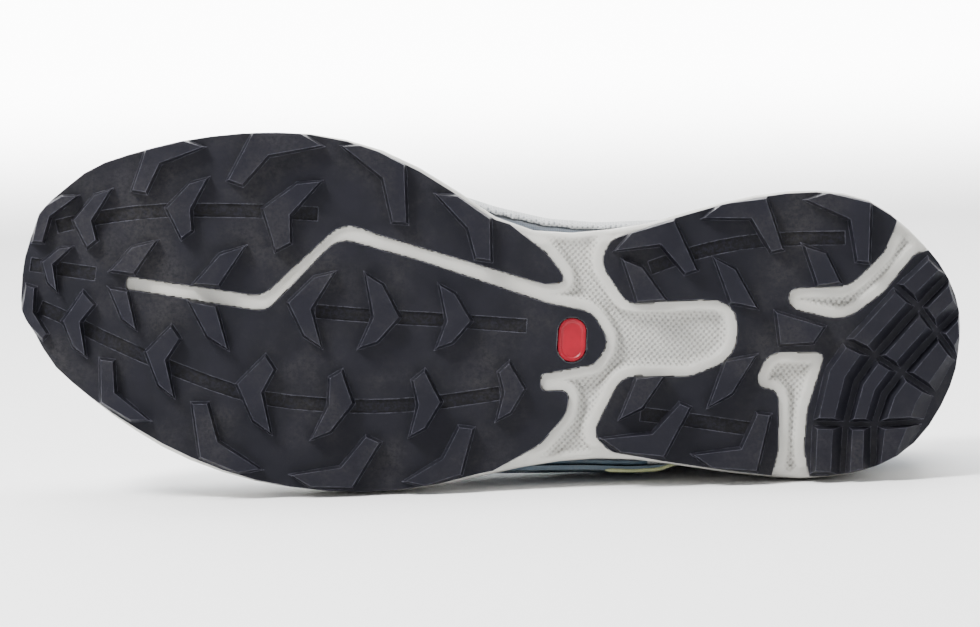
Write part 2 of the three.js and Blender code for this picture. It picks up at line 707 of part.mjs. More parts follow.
function makeRubber() {
  const plain = sheet(sheetFace, sheetBack);
  const edge = prism(outlineRing(() => 0, () => 0).map(([x, y]) => [x, y]));
  const [above, below] = [(x) => sheetFace(x) - STRIP_DEPTH, (x) => sheetFace(x) + STRIP_DEPTH];
  const stripCuts = [...STRIPS.forefoot, ...STRIPS.heel].map(
    (rows) => slab(band(rows, STRIP_WIDTH), above, below, 0, pairedCap));
  const chevrons = [...CHEVRONS.forefoot, ...CHEVRONS.heel].map((row) => lug(chevron(row)));
  const blades = [...BLADES.forefoot, ...BLADES.heel].map((row) => lug(quad(row)));
  const ridges = RIDGES.columns.slice(1).flatMap((_, row) => RIDGES.blocks.map(
    (ends) => ridgeBlock(row, ends, RIDGE_TOP_FROM, RIDGE_TOP_TO)));
  const base = stripCuts.reduce((rest, cut) => rest.subtract(cut), plain);
  const lugs = [...chevrons, ...blades, ...ridges].reduce((all, one) => all.add(one)).intersect(edge);
  const windows = [WINDOWS.groove, WINDOWS.medialChannel, WINDOWS.lateralChannel]
    .map((rows) => prism(rounded(rows)));
  const plugHole = prism(plugOutline(CLEARANCE));
  const whole = [...windows, plugHole].reduce((rest, cut) => rest.subtract(cut), base.add(lugs));
  const pads = whole.decompose().filter((pad) => pad.volume() > SMALLEST_PAD);
  return pads.sort((a, b) => a.boundingBox().min[0] - b.boundingBox().min[0]);
}

function plugOutline(grow) {
  const [width, length] = [PLUG_WIDTH / 2 + grow, PLUG_LENGTH / 2 + grow];
  const outline = new THREE.Path();
  const [x, y] = [along(PLUG_STATION), across(PLUG_SIDE)];
  outline.absarc(x, y + length - width, width, 0, Math.PI);
  outline.absarc(x, y - length + width, width, Math.PI, 2 * Math.PI);
  return outline.getPoints(PLUG_STEPS).slice(0, -1).map((point) => [point.x, point.y]);
}

function makePlug() {
  return slab(plugOutline(0), (x) => sheetBack(x) - PLUG_THICKNESS, sheetBack);
}

function makeMidsole() {
  const rings = SIDE_WALL.rows.map(([rise, out]) => outlineRing(
    (station, sign) => across(out) + across(sign > 0 ? flareLateral(station) : flareMedial(station)),
    (x) => lerp(foamBase(x), rim(x), rise * SHARE),
  ));
  const recess = slab(rounded(ARCH.recess), bottom, (x) => foamBase(x) + ARCH_RECESS);
  return loft(rings, pairedCap).subtract(recess).subtract(cupForm).subtract(wingPocket());
}

function makeUpper() {
  const throat = slab(throatOutline('opening'), footbed, () => SOLE_LENGTH);
  return withEyelets(outerForm.subtract(innerForm).subtract(collar).subtract(throat));
}

function makeTongue() {
  const outline = throatOutline('eyestay').map(([x, y]) => [x, y * TONGUE_SHARE]);
  const reach = SOLE_LENGTH;
  const [x, z] = [along(TONGUE_TOP), TONGUE_HEIGHT];
  const top = sideCutter([[x - reach, z + reach], [x + reach, z - reach], [x + reach, z + reach]]);
  const hem = (x) => lerp(footbed(x), up(sectionCrown(stationOf(x))), TONGUE_DROP);
  return liningForm.subtract(tongueInner).intersect(slab(outline, hem, () => SOLE_LENGTH)).subtract(top);
}

const overlaySkin = overlayOuter.subtract(overlayInner);
const overlay = (region, under = belowRim) => overlaySkin.intersect(region).subtract(under);
const makeToeCap = () => overlay(sideCutter(sideView(SIDE_VIEWS.toeCap)));
const makeHeelCounter = () => overlay(sideCutter(sideView(SIDE_VIEWS.heelCounter))).subtract(collar);

// Half of the eyestay, on the outer side with the wing that runs down to the sole
function makeEyestay(sign) {
  const throat = slab(throatOutline('opening'), footbed, () => SOLE_LENGTH);
  const eyestay = slab(throatOutline('eyestay'), footbed, () => SOLE_LENGTH);
  const region = sign > 0 ? eyestay.add(sideCutter(sideView(SIDE_VIEWS.wing))) : eyestay;
  const under = sign > 0 ? belowTuck(0) : belowRim;
  const whole = overlay(region, under).intersect(half(sign)).subtract(collar).subtract(throat);
  return largest(withEyelets(whole));
}

// Room in the foam for the foot of the wing
function wingPocket() {
  const outline = sideView(SIDE_VIEWS.wing);
  const grown = outline.map(([x, z], i) => [x + (i < outline.length / 2 ? -CLEARANCE : CLEARANCE), z]);
  const room = form(SKIN_GAP + OVERLAY + CLEARANCE, bottom);
  return room.intersect(sideCutter(grown, 0)).subtract(belowTuck(CLEARANCE));
}

function makeInsole() {
  const below = (x) => footbed(x) + CLEARANCE;
  const above = (x) => below(x) + INSOLE_THICKNESS;
  return liningForm.intersect(sheet(below, above, RIM_REACH));
}

// Outward direction of the upper's surface over a point in plan
function skinNormal(x, y) {
  const height = formHeight(x, y, 0);
  const fall = [height - formHeight(x + 1, y, 0), height - formHeight(x, y + 1, 0)];
  return new THREE.Vector3(...fall, 1).normalize();
}

// Crossing lace bars over the tongue, clear of the overlays
function laceBar(from, to) {
  const rise = SKIN_GAP + OVERLAY + CLEARANCE + LACE_THICKNESS / 2 + LACE_LIFT;
  const points = Array.from({ length: LACE_STEPS + 1 }, (_, i) => {
    const [x, y] = [lerp(from[0], to[0], i / LACE_STEPS), lerp(from[1], to[1], i / LACE_STEPS)];
    const normal = skinNormal(x, y);
    const at = new THREE.Vector3(x, y, formHeight(x, y, 0)).addScaledVector(normal, rise);
    return { normal, at };
  });
  const rings = points.map(({ at, normal }, i) => {
    const tangent = points[Math.min(i + 1, LACE_STEPS)].at.clone().sub(points[Math.max(i - 1, 0)].at);
    const wide = new THREE.Vector3().crossVectors(tangent, normal).normalize();
    return Array.from({ length: LACE_SIDES }, (_, k) => {
      const angle = ((k + 0.5) / LACE_SIDES) * 2 * Math.PI;
      return at.clone().addScaledVector(wide, Math.cos(angle) * LACE_WIDTH / 2)
        .addScaledVector(normal, Math.sin(angle) * LACE_THICKNESS / 2).toArray();
    });
  });
  return loft(rings, () => Array.from({ length: LACE_SIDES - 2 }, (_, k) => [0, k + 1, k + 2]));
}

function makeLaceBars() {
  const bars = [laceBar(eyelets[0][0], eyelets[0][1])];
  for (let row = 0; row < EYELET_ROWS - 1; row += 1) {
    bars.push(laceBar(eyelets[row][0], eyelets[row + 1][1]));
    bars.push(laceBar(eyelets[row][1], eyelets[row + 1][0]));
  }
  return bars.reduce((all, one) => all.add(one));
}

function meshOf(name, solid, colour, roughness) {
  const { vertProperties, triVerts } = solid.getMesh();
  const geometry = new THREE.BufferGeometry();
  geometry.setAttribute('position', new THREE.BufferAttribute(new Float32Array(vertProperties), 3));
  geometry.setIndex(new THREE.BufferAttribute(new Uint32Array(triVerts), 1));
  const material = new THREE.MeshStandardMaterial({ color: colour, roughness, metalness: 0 });
  const mesh = new THREE.Mesh(geometry, material);
  mesh.name = name;
  return mesh;
}

const [forefootPad, heelPad] = makeRubber();
const shoe = new THREE.Group();
shoe.add(
  meshOf('outsole_forefoot', forefootPad, TREAD_COLOUR, RUBBER_ROUGHNESS),
  meshOf('outsole_heel', heelPad, TREAD_COLOUR, RUBBER_ROUGHNESS),
  meshOf('midsole', makeMidsole(), FOAM_COLOUR, FOAM_ROUGHNESS),
  meshOf('sole_plug', makePlug(), ACCENT_COLOUR, GLOSS_ROUGHNESS),
  meshOf('insole', makeInsole(), LINING_COLOUR, CLOTH_ROUGHNESS),
  meshOf('upper', makeUpper(), MESH_COLOUR, CLOTH_ROUGHNESS),
  meshOf('tongue', makeTongue(), LINING_COLOUR, CLOTH_ROUGHNESS),
  meshOf('toe_cap', makeToeCap(), OVERLAY_COLOUR, FILM_ROUGHNESS),
  meshOf('heel_counter', makeHeelCounter(), OVERLAY_COLOUR, FILM_ROUGHNESS),
  meshOf('saddle_lateral', makeEyestay(1), OVERLAY_COLOUR, FILM_ROUGHNESS),
  meshOf('eyestay_medial', makeEyestay(-1), OVERLAY_COLOUR, FILM_ROUGHNESS),
  meshOf('lace_bars', makeLaceBars(), LACE_COLOUR, CLOTH_ROUGHNESS),
);

// All the corners of the shoe, in its own axes
function cornersOf(meshes) {
  return meshes.flatMap((mesh) => {
    const positions = mesh.geometry.attributes.position;
    return Array.from(
      { length: positions.count },
      (_, i) => new THREE.Vector3().fromBufferAttribute(positions, i),
    );
  });
}

// Turns the shoe onto its outer side: two points of the sole's edge, at forefoot and heel,
// and the first point of the upper that comes down when it rolls over them
function layOnSide(group) {
  const corners = cornersOf(group.children);
  const sole = cornersOf(group.children.filter((mesh) => /sole/.test(mesh.name)));
  const waist = along(WAIST_STATION);
  const lowest = (points, slope) => points.reduce((best, point) => (
    point.y + slope * point.x > best.y + slope * best.x ? point : best));
  const fore = sole.filter((point) => point.x < waist);
  const rear = sole.filter((point) => point.x >= waist);
  const rest = { slope: 0 };
  for (let round = 0; round < SETTLING_ROUNDS; round += 1) {
    rest.front = lowest(fore, rest.slope);
    rest.back = lowest(rear, rest.slope);
    rest.slope = -(rest.back.y - rest.front.y) / (rest.back.x - rest.front.x);
  }
  const { front, back } = rest;
  const length = back.clone().sub(front).normalize();
  const outwards = new THREE.Vector3().crossVectors(new THREE.Vector3(0, 0, 1), length).normalize();
  const rise = new THREE.Vector3().crossVectors(length, outwards);
  const roll = corners.reduce((least, point) => {
    const reach = point.clone().sub(front);
    const height = reach.dot(rise);
    const angle = Math.atan2(-reach.dot(outwards), height);
    return height > LUG_DEPTH + RUBBER_SHEET ? Math.min(least, angle) : least;
  }, Math.PI / 2);
  const down = outwards.multiplyScalar(Math.cos(roll)).addScaledVector(rise, Math.sin(roll));
  const upward = down.negate();
  const sideways = new THREE.Vector3().crossVectors(upward, length);
  const turn = new THREE.Matrix4().makeBasis(length, sideways, upward).transpose();
  group.quaternion.setFromRotationMatrix(turn);
  const box = new THREE.Box3().setFromPoints(corners.map((point) => point.clone().applyMatrix4(turn)));
  group.position.set(-(box.min.x + box.max.x) / 2, -(box.min.y + box.max.y) / 2, -box.min.z);
  return group;
}

export default new THREE.Group().add(layOnSide(shoe));
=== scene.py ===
"""Looks of a right trail running shoe that lies on its outer side, seen from below."""
import json
import math

import bmesh
import bpy
from bpy.props import FloatProperty, FloatVectorProperty, PointerProperty
from mathutils import Matrix, Vector
from mathutils.bvhtree import BVHTree
from mathutils.kdtree import KDTree


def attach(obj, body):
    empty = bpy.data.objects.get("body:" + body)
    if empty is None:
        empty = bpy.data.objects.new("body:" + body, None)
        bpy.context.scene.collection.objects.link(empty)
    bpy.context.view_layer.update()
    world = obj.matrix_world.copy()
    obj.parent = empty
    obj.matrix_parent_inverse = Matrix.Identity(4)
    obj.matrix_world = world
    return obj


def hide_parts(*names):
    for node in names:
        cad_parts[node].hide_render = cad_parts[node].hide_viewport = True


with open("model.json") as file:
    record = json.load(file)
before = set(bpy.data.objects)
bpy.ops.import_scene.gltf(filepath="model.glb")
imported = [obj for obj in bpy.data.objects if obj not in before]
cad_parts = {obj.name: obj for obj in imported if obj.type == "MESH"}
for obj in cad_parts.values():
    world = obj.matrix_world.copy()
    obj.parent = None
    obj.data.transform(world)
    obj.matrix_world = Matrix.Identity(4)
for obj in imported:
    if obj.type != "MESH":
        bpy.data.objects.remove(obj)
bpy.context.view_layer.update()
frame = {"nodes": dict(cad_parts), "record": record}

bl_info = {
    "name": "Trail running shoe",
    "version": (1, 0, 0),
    "blender": (4, 5, 0),
    "location": "View3D > Sidebar > Shoe",
    "description": "Finishes the pieces of a trail running shoe and sets its stage",
    "category": "Object",
}

MM = 0.001

# Sizes of the shoe that the frame is built on, in millimetres and in shares of them
SOLE_LENGTH = 300.0
BALL_WIDTH = 112.0
LUG_DEPTH = 4.0
SHEET = 2.4
STRIP_DEPTH = 0.6
TOE_SPRING = 13.0
TOE_SPRING_END = 81.0
HEEL_SPRING = 5.0
HEEL_SPRING_START = 271.5
FOREFOOT_TREAD = (0.392 * SOLE_LENGTH, 0.028 * BALL_WIDTH)
HEEL_TREAD = (0.757 * SOLE_LENGTH, -0.12 * BALL_WIDTH)

# The photograph's frame: its width and height in pixels, the shoe's toe and the turn of its long axis
PHOTO_WIDTH = 980
PHOTO_HEIGHT = 627
PHOTO_TOE = (19.5, 285.0)
PHOTO_TURN = math.radians(3.35)
PHOTO_PIXEL = 0.3185
OUTLINE_DEPTH = 5.0

# Foam seen between the rubber pads, in millimetres: its face behind the tread, its rims and its troughs
CLEARANCE = 0.3
FOAM_FACE = LUG_DEPTH + SHEET + CLEARANCE
RIM_RISE = 1.5
RIM_END = (2.2, 5.6)
TROUGH_DEPTH = 1.5
TROUGH_START = (2.6, 5.8)
TROUGH_CELLS = (2.6, 4.2)
SIDE_MARGIN = (0.6, 3.6)
PARTING_HEIGHT = 12.0
SHALLOWEST_FOAM = FOAM_FACE - 0.6
DEEPEST_TROUGH = FOAM_FACE + TROUGH_DEPTH + 1.6
BRINK_REACH = 2.2

# Angles in degrees: where faces crease, and how flat neighbouring faces are joined
SMOOTH = 180
RUBBER_CREASE = 32
FILM_CREASE = 40
FILM_EDGE = 50
INSET_EDGE = 30
FOAM_CREASE = (60, 50)
FLOOR_CREASE = 30
RUBBER_FLAT = 0.4
FILM_FLAT = 0.2
INSET_FLAT = 1.0

# Rounds of smoothing that give each piece its softness
FOAM_ROUNDS = 2
CLOTH_ROUNDS = 5
BOARD_ROUNDS = 3
TONGUE_ROUNDS = 8

# The least slope towards the ground of foam that shows, and of foam in a trough's wall, and how far from
# the pads, in millimetres, the foam's edge counts as its own
SHOWN_SLOPE = 0.55
WALL_SLOPE = -0.3
PAD_MARGIN = 1.5

# Where the collar and the eyelets lie, in millimetres, and the radius of a rim's wire in metres; the eyelet
# stations are thousandths of the length
COLLAR_START = 178.0
COLLAR_TURN = 252.0
COLLAR_STEPS = 16
COLLAR_FAN = 22
COLLAR_SEARCH = (45.0, 130.0)
SEARCH_ROUNDS = 14
ROLL_DROP = 0.32
ROLL_SHIFT = 0.07
ROLL_ENDS = (0.35, 0.7, 0.9)
ROLL_SIDES = 16
UPPER_AXIS = 48.0
HEEL_ROOM = 250.0
INWARD_LEAST = 0.1
EYELET_ROWS = 5
EYELET_FRONT = 358.0
EYELET_BACK = 548.0
EYELET_REACH = (14.0, 20.2)
EYELET_EDGE = 3.6
EYELET_RAYS = 8
EYELET_SIDES = 20
RIM_WIRE = 0.0009
ABOVE = 160.0
THROAT_SIDE = (-2.5, -0.2)

# The lace: where it is led over the shoe, in shares of a crossing, how it dips into the eyelets, in metres,
# and how it narrows and tilts there
LACE_PARTS = (0.16, 0.33, 0.5, 0.67, 0.84)
LACE_ENTRY = (-0.004, -0.0012, 0.0010)
LACE_SEARCH = 0.04
LACE_SPACING = 0.0012
LACE_OVER = 0.9
LACE_SINK = 0.3
LACE_PINCH = 0.62
LACE_WIDENS = 5.0
LACE_TILT = 0.6
LACE_LEVELS = 9
LACE_SIDES = 12

# Stitches, and the outer wing's foot and piping, in millimetres; STITCH_LONGEST and STITCH_SINK in metres
STITCH_ROWS = ((17.2, 23.6), (18.6, 25.0))
STITCHES = 34
STITCH_SHARE = 0.62
STITCH_ENDS = (-6, 24)
STITCH_LONGEST = 0.004
STITCH_SINK = 0.0003
THREAD_SIDES = 6
WING_FOOT = (138.0, 204.0, 27.5)
PIPING = (190.0, 217.0)
PIPING_HEIGHTS = (20.0, 46.0)
PIPING_STEPS = 24
PIPING_INSET = 1.3
PIPING_ENDS = (0.4, 0.8)
PIPING_ROUNDS = 6
PIPING_SIDES = 8

# The stage: the floor's two greys and its bend, and each lamp's place, size in metres and target
FLOOR_PALE = (0.97, 0.97, 0.97, 1.0)
FLOOR_SHADE = (0.95, 0.95, 0.95, 1.0)
BEND_STEPS = 24
EDGE_ROOM = 0.001
ON_SHOE = (0.0, 0.0, 0.06)
ON_BACKDROP = (0.0, 5.0, 0.6)
LAMPS = {
    "key": {"place": (-0.75, -0.55, 1.1), "size": 0.4, "target": ON_SHOE},
    "fill": {"place": (0.9, -1.3, 0.45), "size": 1.2, "target": ON_SHOE},
    "top": {"place": (0.0, 0.35, 1.5), "size": 1.6, "target": ON_SHOE},
    "backdrop": {"place": (0.0, 2.6, 2.2), "size": 3.0, "target": ON_BACKDROP},
}
SENSOR_WIDTH = 36.0
CLIP_END = 20.0


def mount_place(name):
    """Place and outward direction of a named mount."""
    mount = next(one for one in frame["record"]["mounts"] if one["name"] == name)
    return Vector(mount["pos_m"]), Vector(mount["axis"]).normalized()


def shoe_axes():
    """Matrix from the shoe's own axes, in millimetres from the toe, to the frame in metres."""
    front, down = mount_place("forefoot_tread")
    back, _ = mount_place("heel_tread")
    run = Vector((HEEL_TREAD[0] - FOREFOOT_TREAD[0], HEEL_TREAD[1] - FOREFOOT_TREAD[1]))
    angle = math.atan2(run.y, run.x)
    upward = -down
    along = (back - front).normalized()
    length = Matrix.Rotation(-angle, 3, upward) @ along
    side = upward.cross(length)
    origin = front - (length * FOREFOOT_TREAD[0] + side * FOREFOOT_TREAD[1]) * MM
    turn = Matrix((length, side, upward)).transposed().to_4x4()
    return Matrix.Translation(origin) @ turn @ Matrix.Scale(MM, 4)


SHOE = shoe_axes()
TO_SHOE = SHOE.inverted()


def shoe_point(x, y, z):
    """Point of the frame at a place in the shoe's own axes."""
    return SHOE @ Vector((x, y, z))


def shoe_direction(x, y, z):
    """Unit direction of the frame for a direction in the shoe's own axes."""
    return (SHOE.to_3x3() @ Vector((x, y, z))).normalized()


# Shader groups

class Nodes:
    """Short forms for building a node tree."""

    def __init__(self, tree):
        self.tree = tree

    def add(self, kind, **inputs):
        node = self.tree.nodes.new(kind)
        for name, value in inputs.items():
            self.put(node.inputs[name.replace("_", " ")], value)
        return node

    def put(self, socket, value):
        if isinstance(value, bpy.types.NodeSocket):
            self.tree.links.new(value, socket)
        else:
            socket.default_value = value

    def math(self, operation, first, second=0.0, third=0.0, clamp=False):
        node = self.tree.nodes.new("ShaderNodeMath")
        node.operation = operation
        node.use_clamp = clamp
        for socket, value in zip(node.inputs, (first, second, third)):
            self.put(socket, value)
        return node.outputs[0]

    def band(self, value, low, high, start=0.0, end=1.0):
        node = self.add("ShaderNodeMapRange", Value=value)
        node.interpolation_type = "SMOOTHSTEP"
        node.inputs["From Min"].default_value = low
        node.inputs["From Max"].default_value = high
        node.inputs["To Min"].default_value = start
        node.inputs["To Max"].default_value = end
        return node.outputs[0]

    def mix(self, share, first, second):
        node = self.tree.nodes.new("ShaderNodeMix")
        node.data_type = "RGBA"
        self.put(node.inputs[0], share)
        self.put(node.inputs[6], first)
        self.put(node.inputs[7], second)
        return node.outputs[2]

    def noise(self, vector, scale, detail=3.0, roughness=0.5):
        return self.add("ShaderNodeTexNoise", Vector=vector, Scale=scale, Detail=detail,
                        Roughness=roughness).outputs["Fac"]

    def bump(self, height, distance, strength=1.0):
        bump = self.add("ShaderNodeBump", Height=height, Distance=distance, Strength=strength)
        return bump.outputs["Normal"]


def new_group(name, inputs, outputs):
    """A shader node group with float, vector or colour sockets."""
    tree = bpy.data.node_groups.new(name, "ShaderNodeTree")
    for socket, kind, default in inputs:
        made = tree.interface.new_socket(socket, in_out="INPUT", socket_type="NodeSocket" + kind)
        made.default_value = default
    for socket, kind in outputs:
        tree.interface.new_socket(socket, in_out="OUTPUT", socket_type="NodeSocket" + kind)
    start = tree.nodes.new("NodeGroupInput")
    end = tree.nodes.new("NodeGroupOutput")
    return Nodes(tree), start.outputs, end.inputs


def shoe_place_group():
    """Places of a surface in the shoe's own axes, in millimetres, and its depth behind the tread."""
    nodes, _, result = new_group("shoe place", [], [("Place", "Vector"), ("Depth", "Float")])
    coordinates = nodes.add("ShaderNodeTexCoord").outputs["Object"]
    offset = nodes.tree.nodes.new("ShaderNodeVectorMath")
    offset.operation = "SUBTRACT"
    nodes.put(offset.inputs[0], coordinates)
    offset.inputs[1].default_value = SHOE.translation
    parts = []
    for axis in ((1, 0, 0), (0, 1, 0), (0, 0, 1)):
        dot = nodes.tree.nodes.new("ShaderNodeVectorMath")
        dot.operation = "DOT_PRODUCT"
        nodes.put(dot.inputs[0], offset.outputs[0])
        dot.inputs[1].default_value = shoe_direction(*axis) / MM
        parts.append(dot.outputs["Value"])
    joined = nodes.tree.nodes.new("ShaderNodeCombineXYZ")
    for socket, part in zip(joined.inputs, parts):
        nodes.put(socket, part)
    toe = nodes.math("MULTIPLY_ADD", parts[0], -1.0 / TOE_SPRING_END, 1.0, clamp=True)
    heel = nodes.math("DIVIDE", nodes.math("SUBTRACT", parts[0], HEEL_SPRING_START),
                      SOLE_LENGTH - HEEL_SPRING_START, clamp=True)
    toe_rise = nodes.math("MULTIPLY", nodes.math("POWER", toe, 2.0), TOE_SPRING)
    heel_rise = nodes.math("MULTIPLY", nodes.math("POWER", heel, 2.0), HEEL_SPRING)
    ground = nodes.math("ADD", toe_rise, heel_rise)
    nodes.put(result["Place"], joined.outputs[0])
    nodes.put(result["Depth"], nodes.math("SUBTRACT", parts[2], ground))
    return nodes.tree


def grain_group():
    """Fine moulded grain: a height, a mottling mask and sparse pale specks."""
    nodes, given, result = new_group("moulded grain", [
        ("Vector", "Vector", (0, 0, 0)), ("Size", "Float", 1.0)],
        [("Height", "Float"), ("Mottle", "Float"), ("Speck", "Float")])
    fine = nodes.noise(given["Vector"], nodes.math("DIVIDE", 1.1, given["Size"]), 4.0, 0.65)
    broad = nodes.noise(given["Vector"], nodes.math("DIVIDE", 0.09, given["Size"]), 3.0, 0.6)
    sharp = nodes.noise(given["Vector"], nodes.math("DIVIDE", 1.9, given["Size"]), 2.0, 0.8)
    nodes.put(result["Height"], fine)
    nodes.put(result["Mottle"], nodes.band(broad, 0.32, 0.68))
    nodes.put(result["Speck"], nodes.band(sharp, 0.66, 0.78))
    return nodes.tree


def wear_and_highlight_group():
    """Mask of convex edges, broken up by a noise: worn edges, and on the rubber also painted highlights
    along them.
    """
    nodes, given, result = new_group("edge wear and highlight", [
        ("Vector", "Vector", (0, 0, 0)), ("Radius", "Float", 0.0006)], [("Edge", "Float")])
    bevel = nodes.tree.nodes.new("ShaderNodeBevel")
    bevel.samples = 4
    nodes.put(bevel.inputs["Radius"], given["Radius"])
    plain = nodes.tree.nodes.new("ShaderNodeNewGeometry").outputs["Normal"]
    dot = nodes.tree.nodes.new("ShaderNodeVectorMath")
    dot.operation = "DOT_PRODUCT"
    nodes.put(dot.inputs[0], bevel.outputs[0])
    nodes.put(dot.inputs[1], plain)
    turned = nodes.band(dot.outputs["Value"], 0.995, 0.82)
    broken = nodes.band(nodes.noise(given["Vector"], 0.35, 4.0, 0.7), 0.3, 0.65)
    nodes.put(result["Edge"], nodes.math("MULTIPLY", turned, broken, clamp=True))
    return nodes.tree


def weave_group():
    """Plain weave over a surface laid out by two directions: a height and the gaps between threads."""
    nodes, given, result = new_group("plain weave", [
        ("Vector", "Vector", (0, 0, 0)), ("Pitch", "Float", 1.0)],
        [("Height", "Float"), ("Gap", "Float")])
    scaled = nodes.tree.nodes.new("ShaderNodeVectorMath")
    scaled.operation = "SCALE"
    nodes.put(scaled.inputs[0], given["Vector"])
    nodes.put(scaled.inputs["Scale"], nodes.math("DIVIDE", math.pi, given["Pitch"]))
    split = nodes.add("ShaderNodeSeparateXYZ", Vector=scaled.outputs[0])
    along = nodes.math("ABSOLUTE", nodes.math("SINE", split.outputs[0]))
    across = nodes.math("ABSOLUTE", nodes.math("SINE", split.outputs[1]))
    upward = nodes.math("ABSOLUTE", nodes.math("SINE", split.outputs[2]))
    thread = nodes.math("MULTIPLY", nodes.math("MULTIPLY", along, nodes.math("ADD", across, 0.35)),
                        nodes.math("ADD", upward, 0.35))
    nodes.put(result["Height"], nodes.math("POWER", thread, 0.5, clamp=True))
    nodes.put(result["Gap"], nodes.band(thread, 0.38, 0.08))
    return nodes.tree


def dust_group():
    """Pale dust in patches, for surfaces that have met the ground."""
    nodes, given, result = new_group("dust", [
        ("Vector", "Vector", (0, 0, 0)), ("Amount", "Float", 0.3)], [("Dust", "Float")])
    patches = nodes.noise(given["Vector"], 0.035, 5.0, 0.62)
    fine = nodes.noise(given["Vector"], 0.9, 3.0, 0.7)
    cover = nodes.math("MULTIPLY", nodes.band(patches, 0.42, 0.72), nodes.band(fine, 0.25, 0.7))
    nodes.put(result["Dust"], nodes.math("MULTIPLY", cover, given["Amount"], clamp=True))
    return nodes.tree


def lattice_group():
    """Offset rows of small cells: the rounded height between them and the hollow of each."""
    nodes, given, result = new_group("cell lattice", [
        ("Along", "Float", 0.0), ("Across", "Float", 0.0), ("Pitch", "Float", 1.8), ("Row", "Float", 1.0)],
        [("Height", "Float"), ("Hollow", "Float")])
    first = nodes.math("DIVIDE", nodes.math("MULTIPLY", given["Along"], math.tau), given["Pitch"])
    second = nodes.math("DIVIDE", nodes.math("MULTIPLY", given["Across"], math.pi), given["Row"])
    wave = nodes.math("MULTIPLY", nodes.math("COSINE", first), nodes.math("COSINE", second))
    nodes.put(result["Height"], nodes.band(wave, -0.75, 0.35))
    nodes.put(result["Hollow"], nodes.band(wave, -0.15, -0.7))
    return nodes.tree


def wrap_group():
    """Places on the upper laid out flat: along the shoe and round it."""
    nodes, given, result = new_group("upper wrap", [("Place", "Vector", (0, 0, 0))],
                                     [("Along", "Float"), ("Round", "Float")])
    split = nodes.add("ShaderNodeSeparateXYZ", Vector=given["Place"])
    nodes.put(result["Along"], split.outputs[0])
    side = nodes.math("ABSOLUTE", split.outputs[1])
    nodes.put(result["Round"], nodes.math("SUBTRACT", split.outputs[2], side))
    return nodes.tree


GROUPS = {
    "shoe place": shoe_place_group,
    "moulded grain": grain_group,
    "edge wear and highlight": wear_and_highlight_group,
    "plain weave": weave_group,
    "dust": dust_group,
    "cell lattice": lattice_group,
    "upper wrap": wrap_group,
}


def call(nodes, name, **inputs):
    """A node for one of the shared groups, which is made when it is first called."""
    node = nodes.add("ShaderNodeGroup")
    node.node_tree = bpy.data.node_groups.get(name) or GROUPS[name]()
    for socket, value in inputs.items():
        nodes.put(node.inputs[socket], value)
    return node.outputs


def new_material(name):
    """A material, a builder for its nodes, and its surface node."""
    made = bpy.data.materials.new(name)
    made.use_nodes = True
    return made, Nodes(made.node_tree), made.node_tree.nodes["Principled BSDF"]


def finish_surface(surface, sheen=0.0, sheen_roughness=0.5, specular=0.5, coat=0.0):
    """Constant settings of a material's surface."""
    surface.inputs["Sheen Weight"].default_value = sheen
    surface.inputs["Sheen Roughness"].default_value = sheen_roughness
    surface.inputs["Specular IOR Level"].default_value = specular
    surface.inputs["Coat Weight"].default_value = coat


def rubber_material(colours):
    """Dark outsole rubber: crumb in the strips, grain on the sheet, paler edges that are partly wear and
    partly painted highlight.
    """
    made, nodes, surface = new_material("outsole rubber")
    place = call(nodes, "shoe place")
    grain = call(nodes, "moulded grain", Vector=place["Place"])
    edge = call(nodes, "edge wear and highlight", Vector=place["Place"], Radius=0.0004)
    dust = call(nodes, "dust", Vector=place["Place"], Amount=0.05)
    strip = nodes.band(place["Depth"], LUG_DEPTH + 0.3, LUG_DEPTH + STRIP_DEPTH - 0.1)
    front = nodes.band(place["Depth"], LUG_DEPTH + SHEET * 0.9, LUG_DEPTH + STRIP_DEPTH + 0.5)
    strip = nodes.math("MULTIPLY", strip, front)
    tread = nodes.band(place["Depth"], 1.2, 0.1)
    crumb = nodes.noise(place["Place"], 0.85, 4.0, 0.8)
    base = nodes.mix(grain["Mottle"], colours.rubber, colours.rubber_pale)
    lugs = nodes.mix(nodes.math("MULTIPLY", tread, 0.5), base, colours.rubber_lug)
    specks = nodes.mix(nodes.math("MULTIPLY", grain["Speck"], 0.3), lugs, colours.rubber_speck)
    crumbs = nodes.mix(nodes.band(crumb, 0.45, 0.6), colours.rubber_deep, colours.rubber_lug)
    stripped = nodes.mix(strip, specks, crumbs)
    # Paler convex edges: partly wear broken up by noise, partly a painted highlight along the edges of the
    # lugs and strips.
    worn = nodes.mix(nodes.math("MULTIPLY", edge["Edge"], 0.8), stripped, colours.rubber_edge_wear_and_highlight)
    nodes.put(surface.inputs["Base Color"], nodes.mix(dust["Dust"], worn, colours.dust))
    nodes.put(surface.inputs["Roughness"], nodes.band(grain["Mottle"], 0.0, 1.0, 0.5, 0.62))
    height = nodes.math("ADD", grain["Height"],
                        nodes.math("MULTIPLY", nodes.math("MULTIPLY", strip, crumb), 3.0))
    nodes.put(surface.inputs["Normal"], nodes.bump(height, 0.0001, 0.5))
    finish_surface(surface, specular=0.12)
    return made


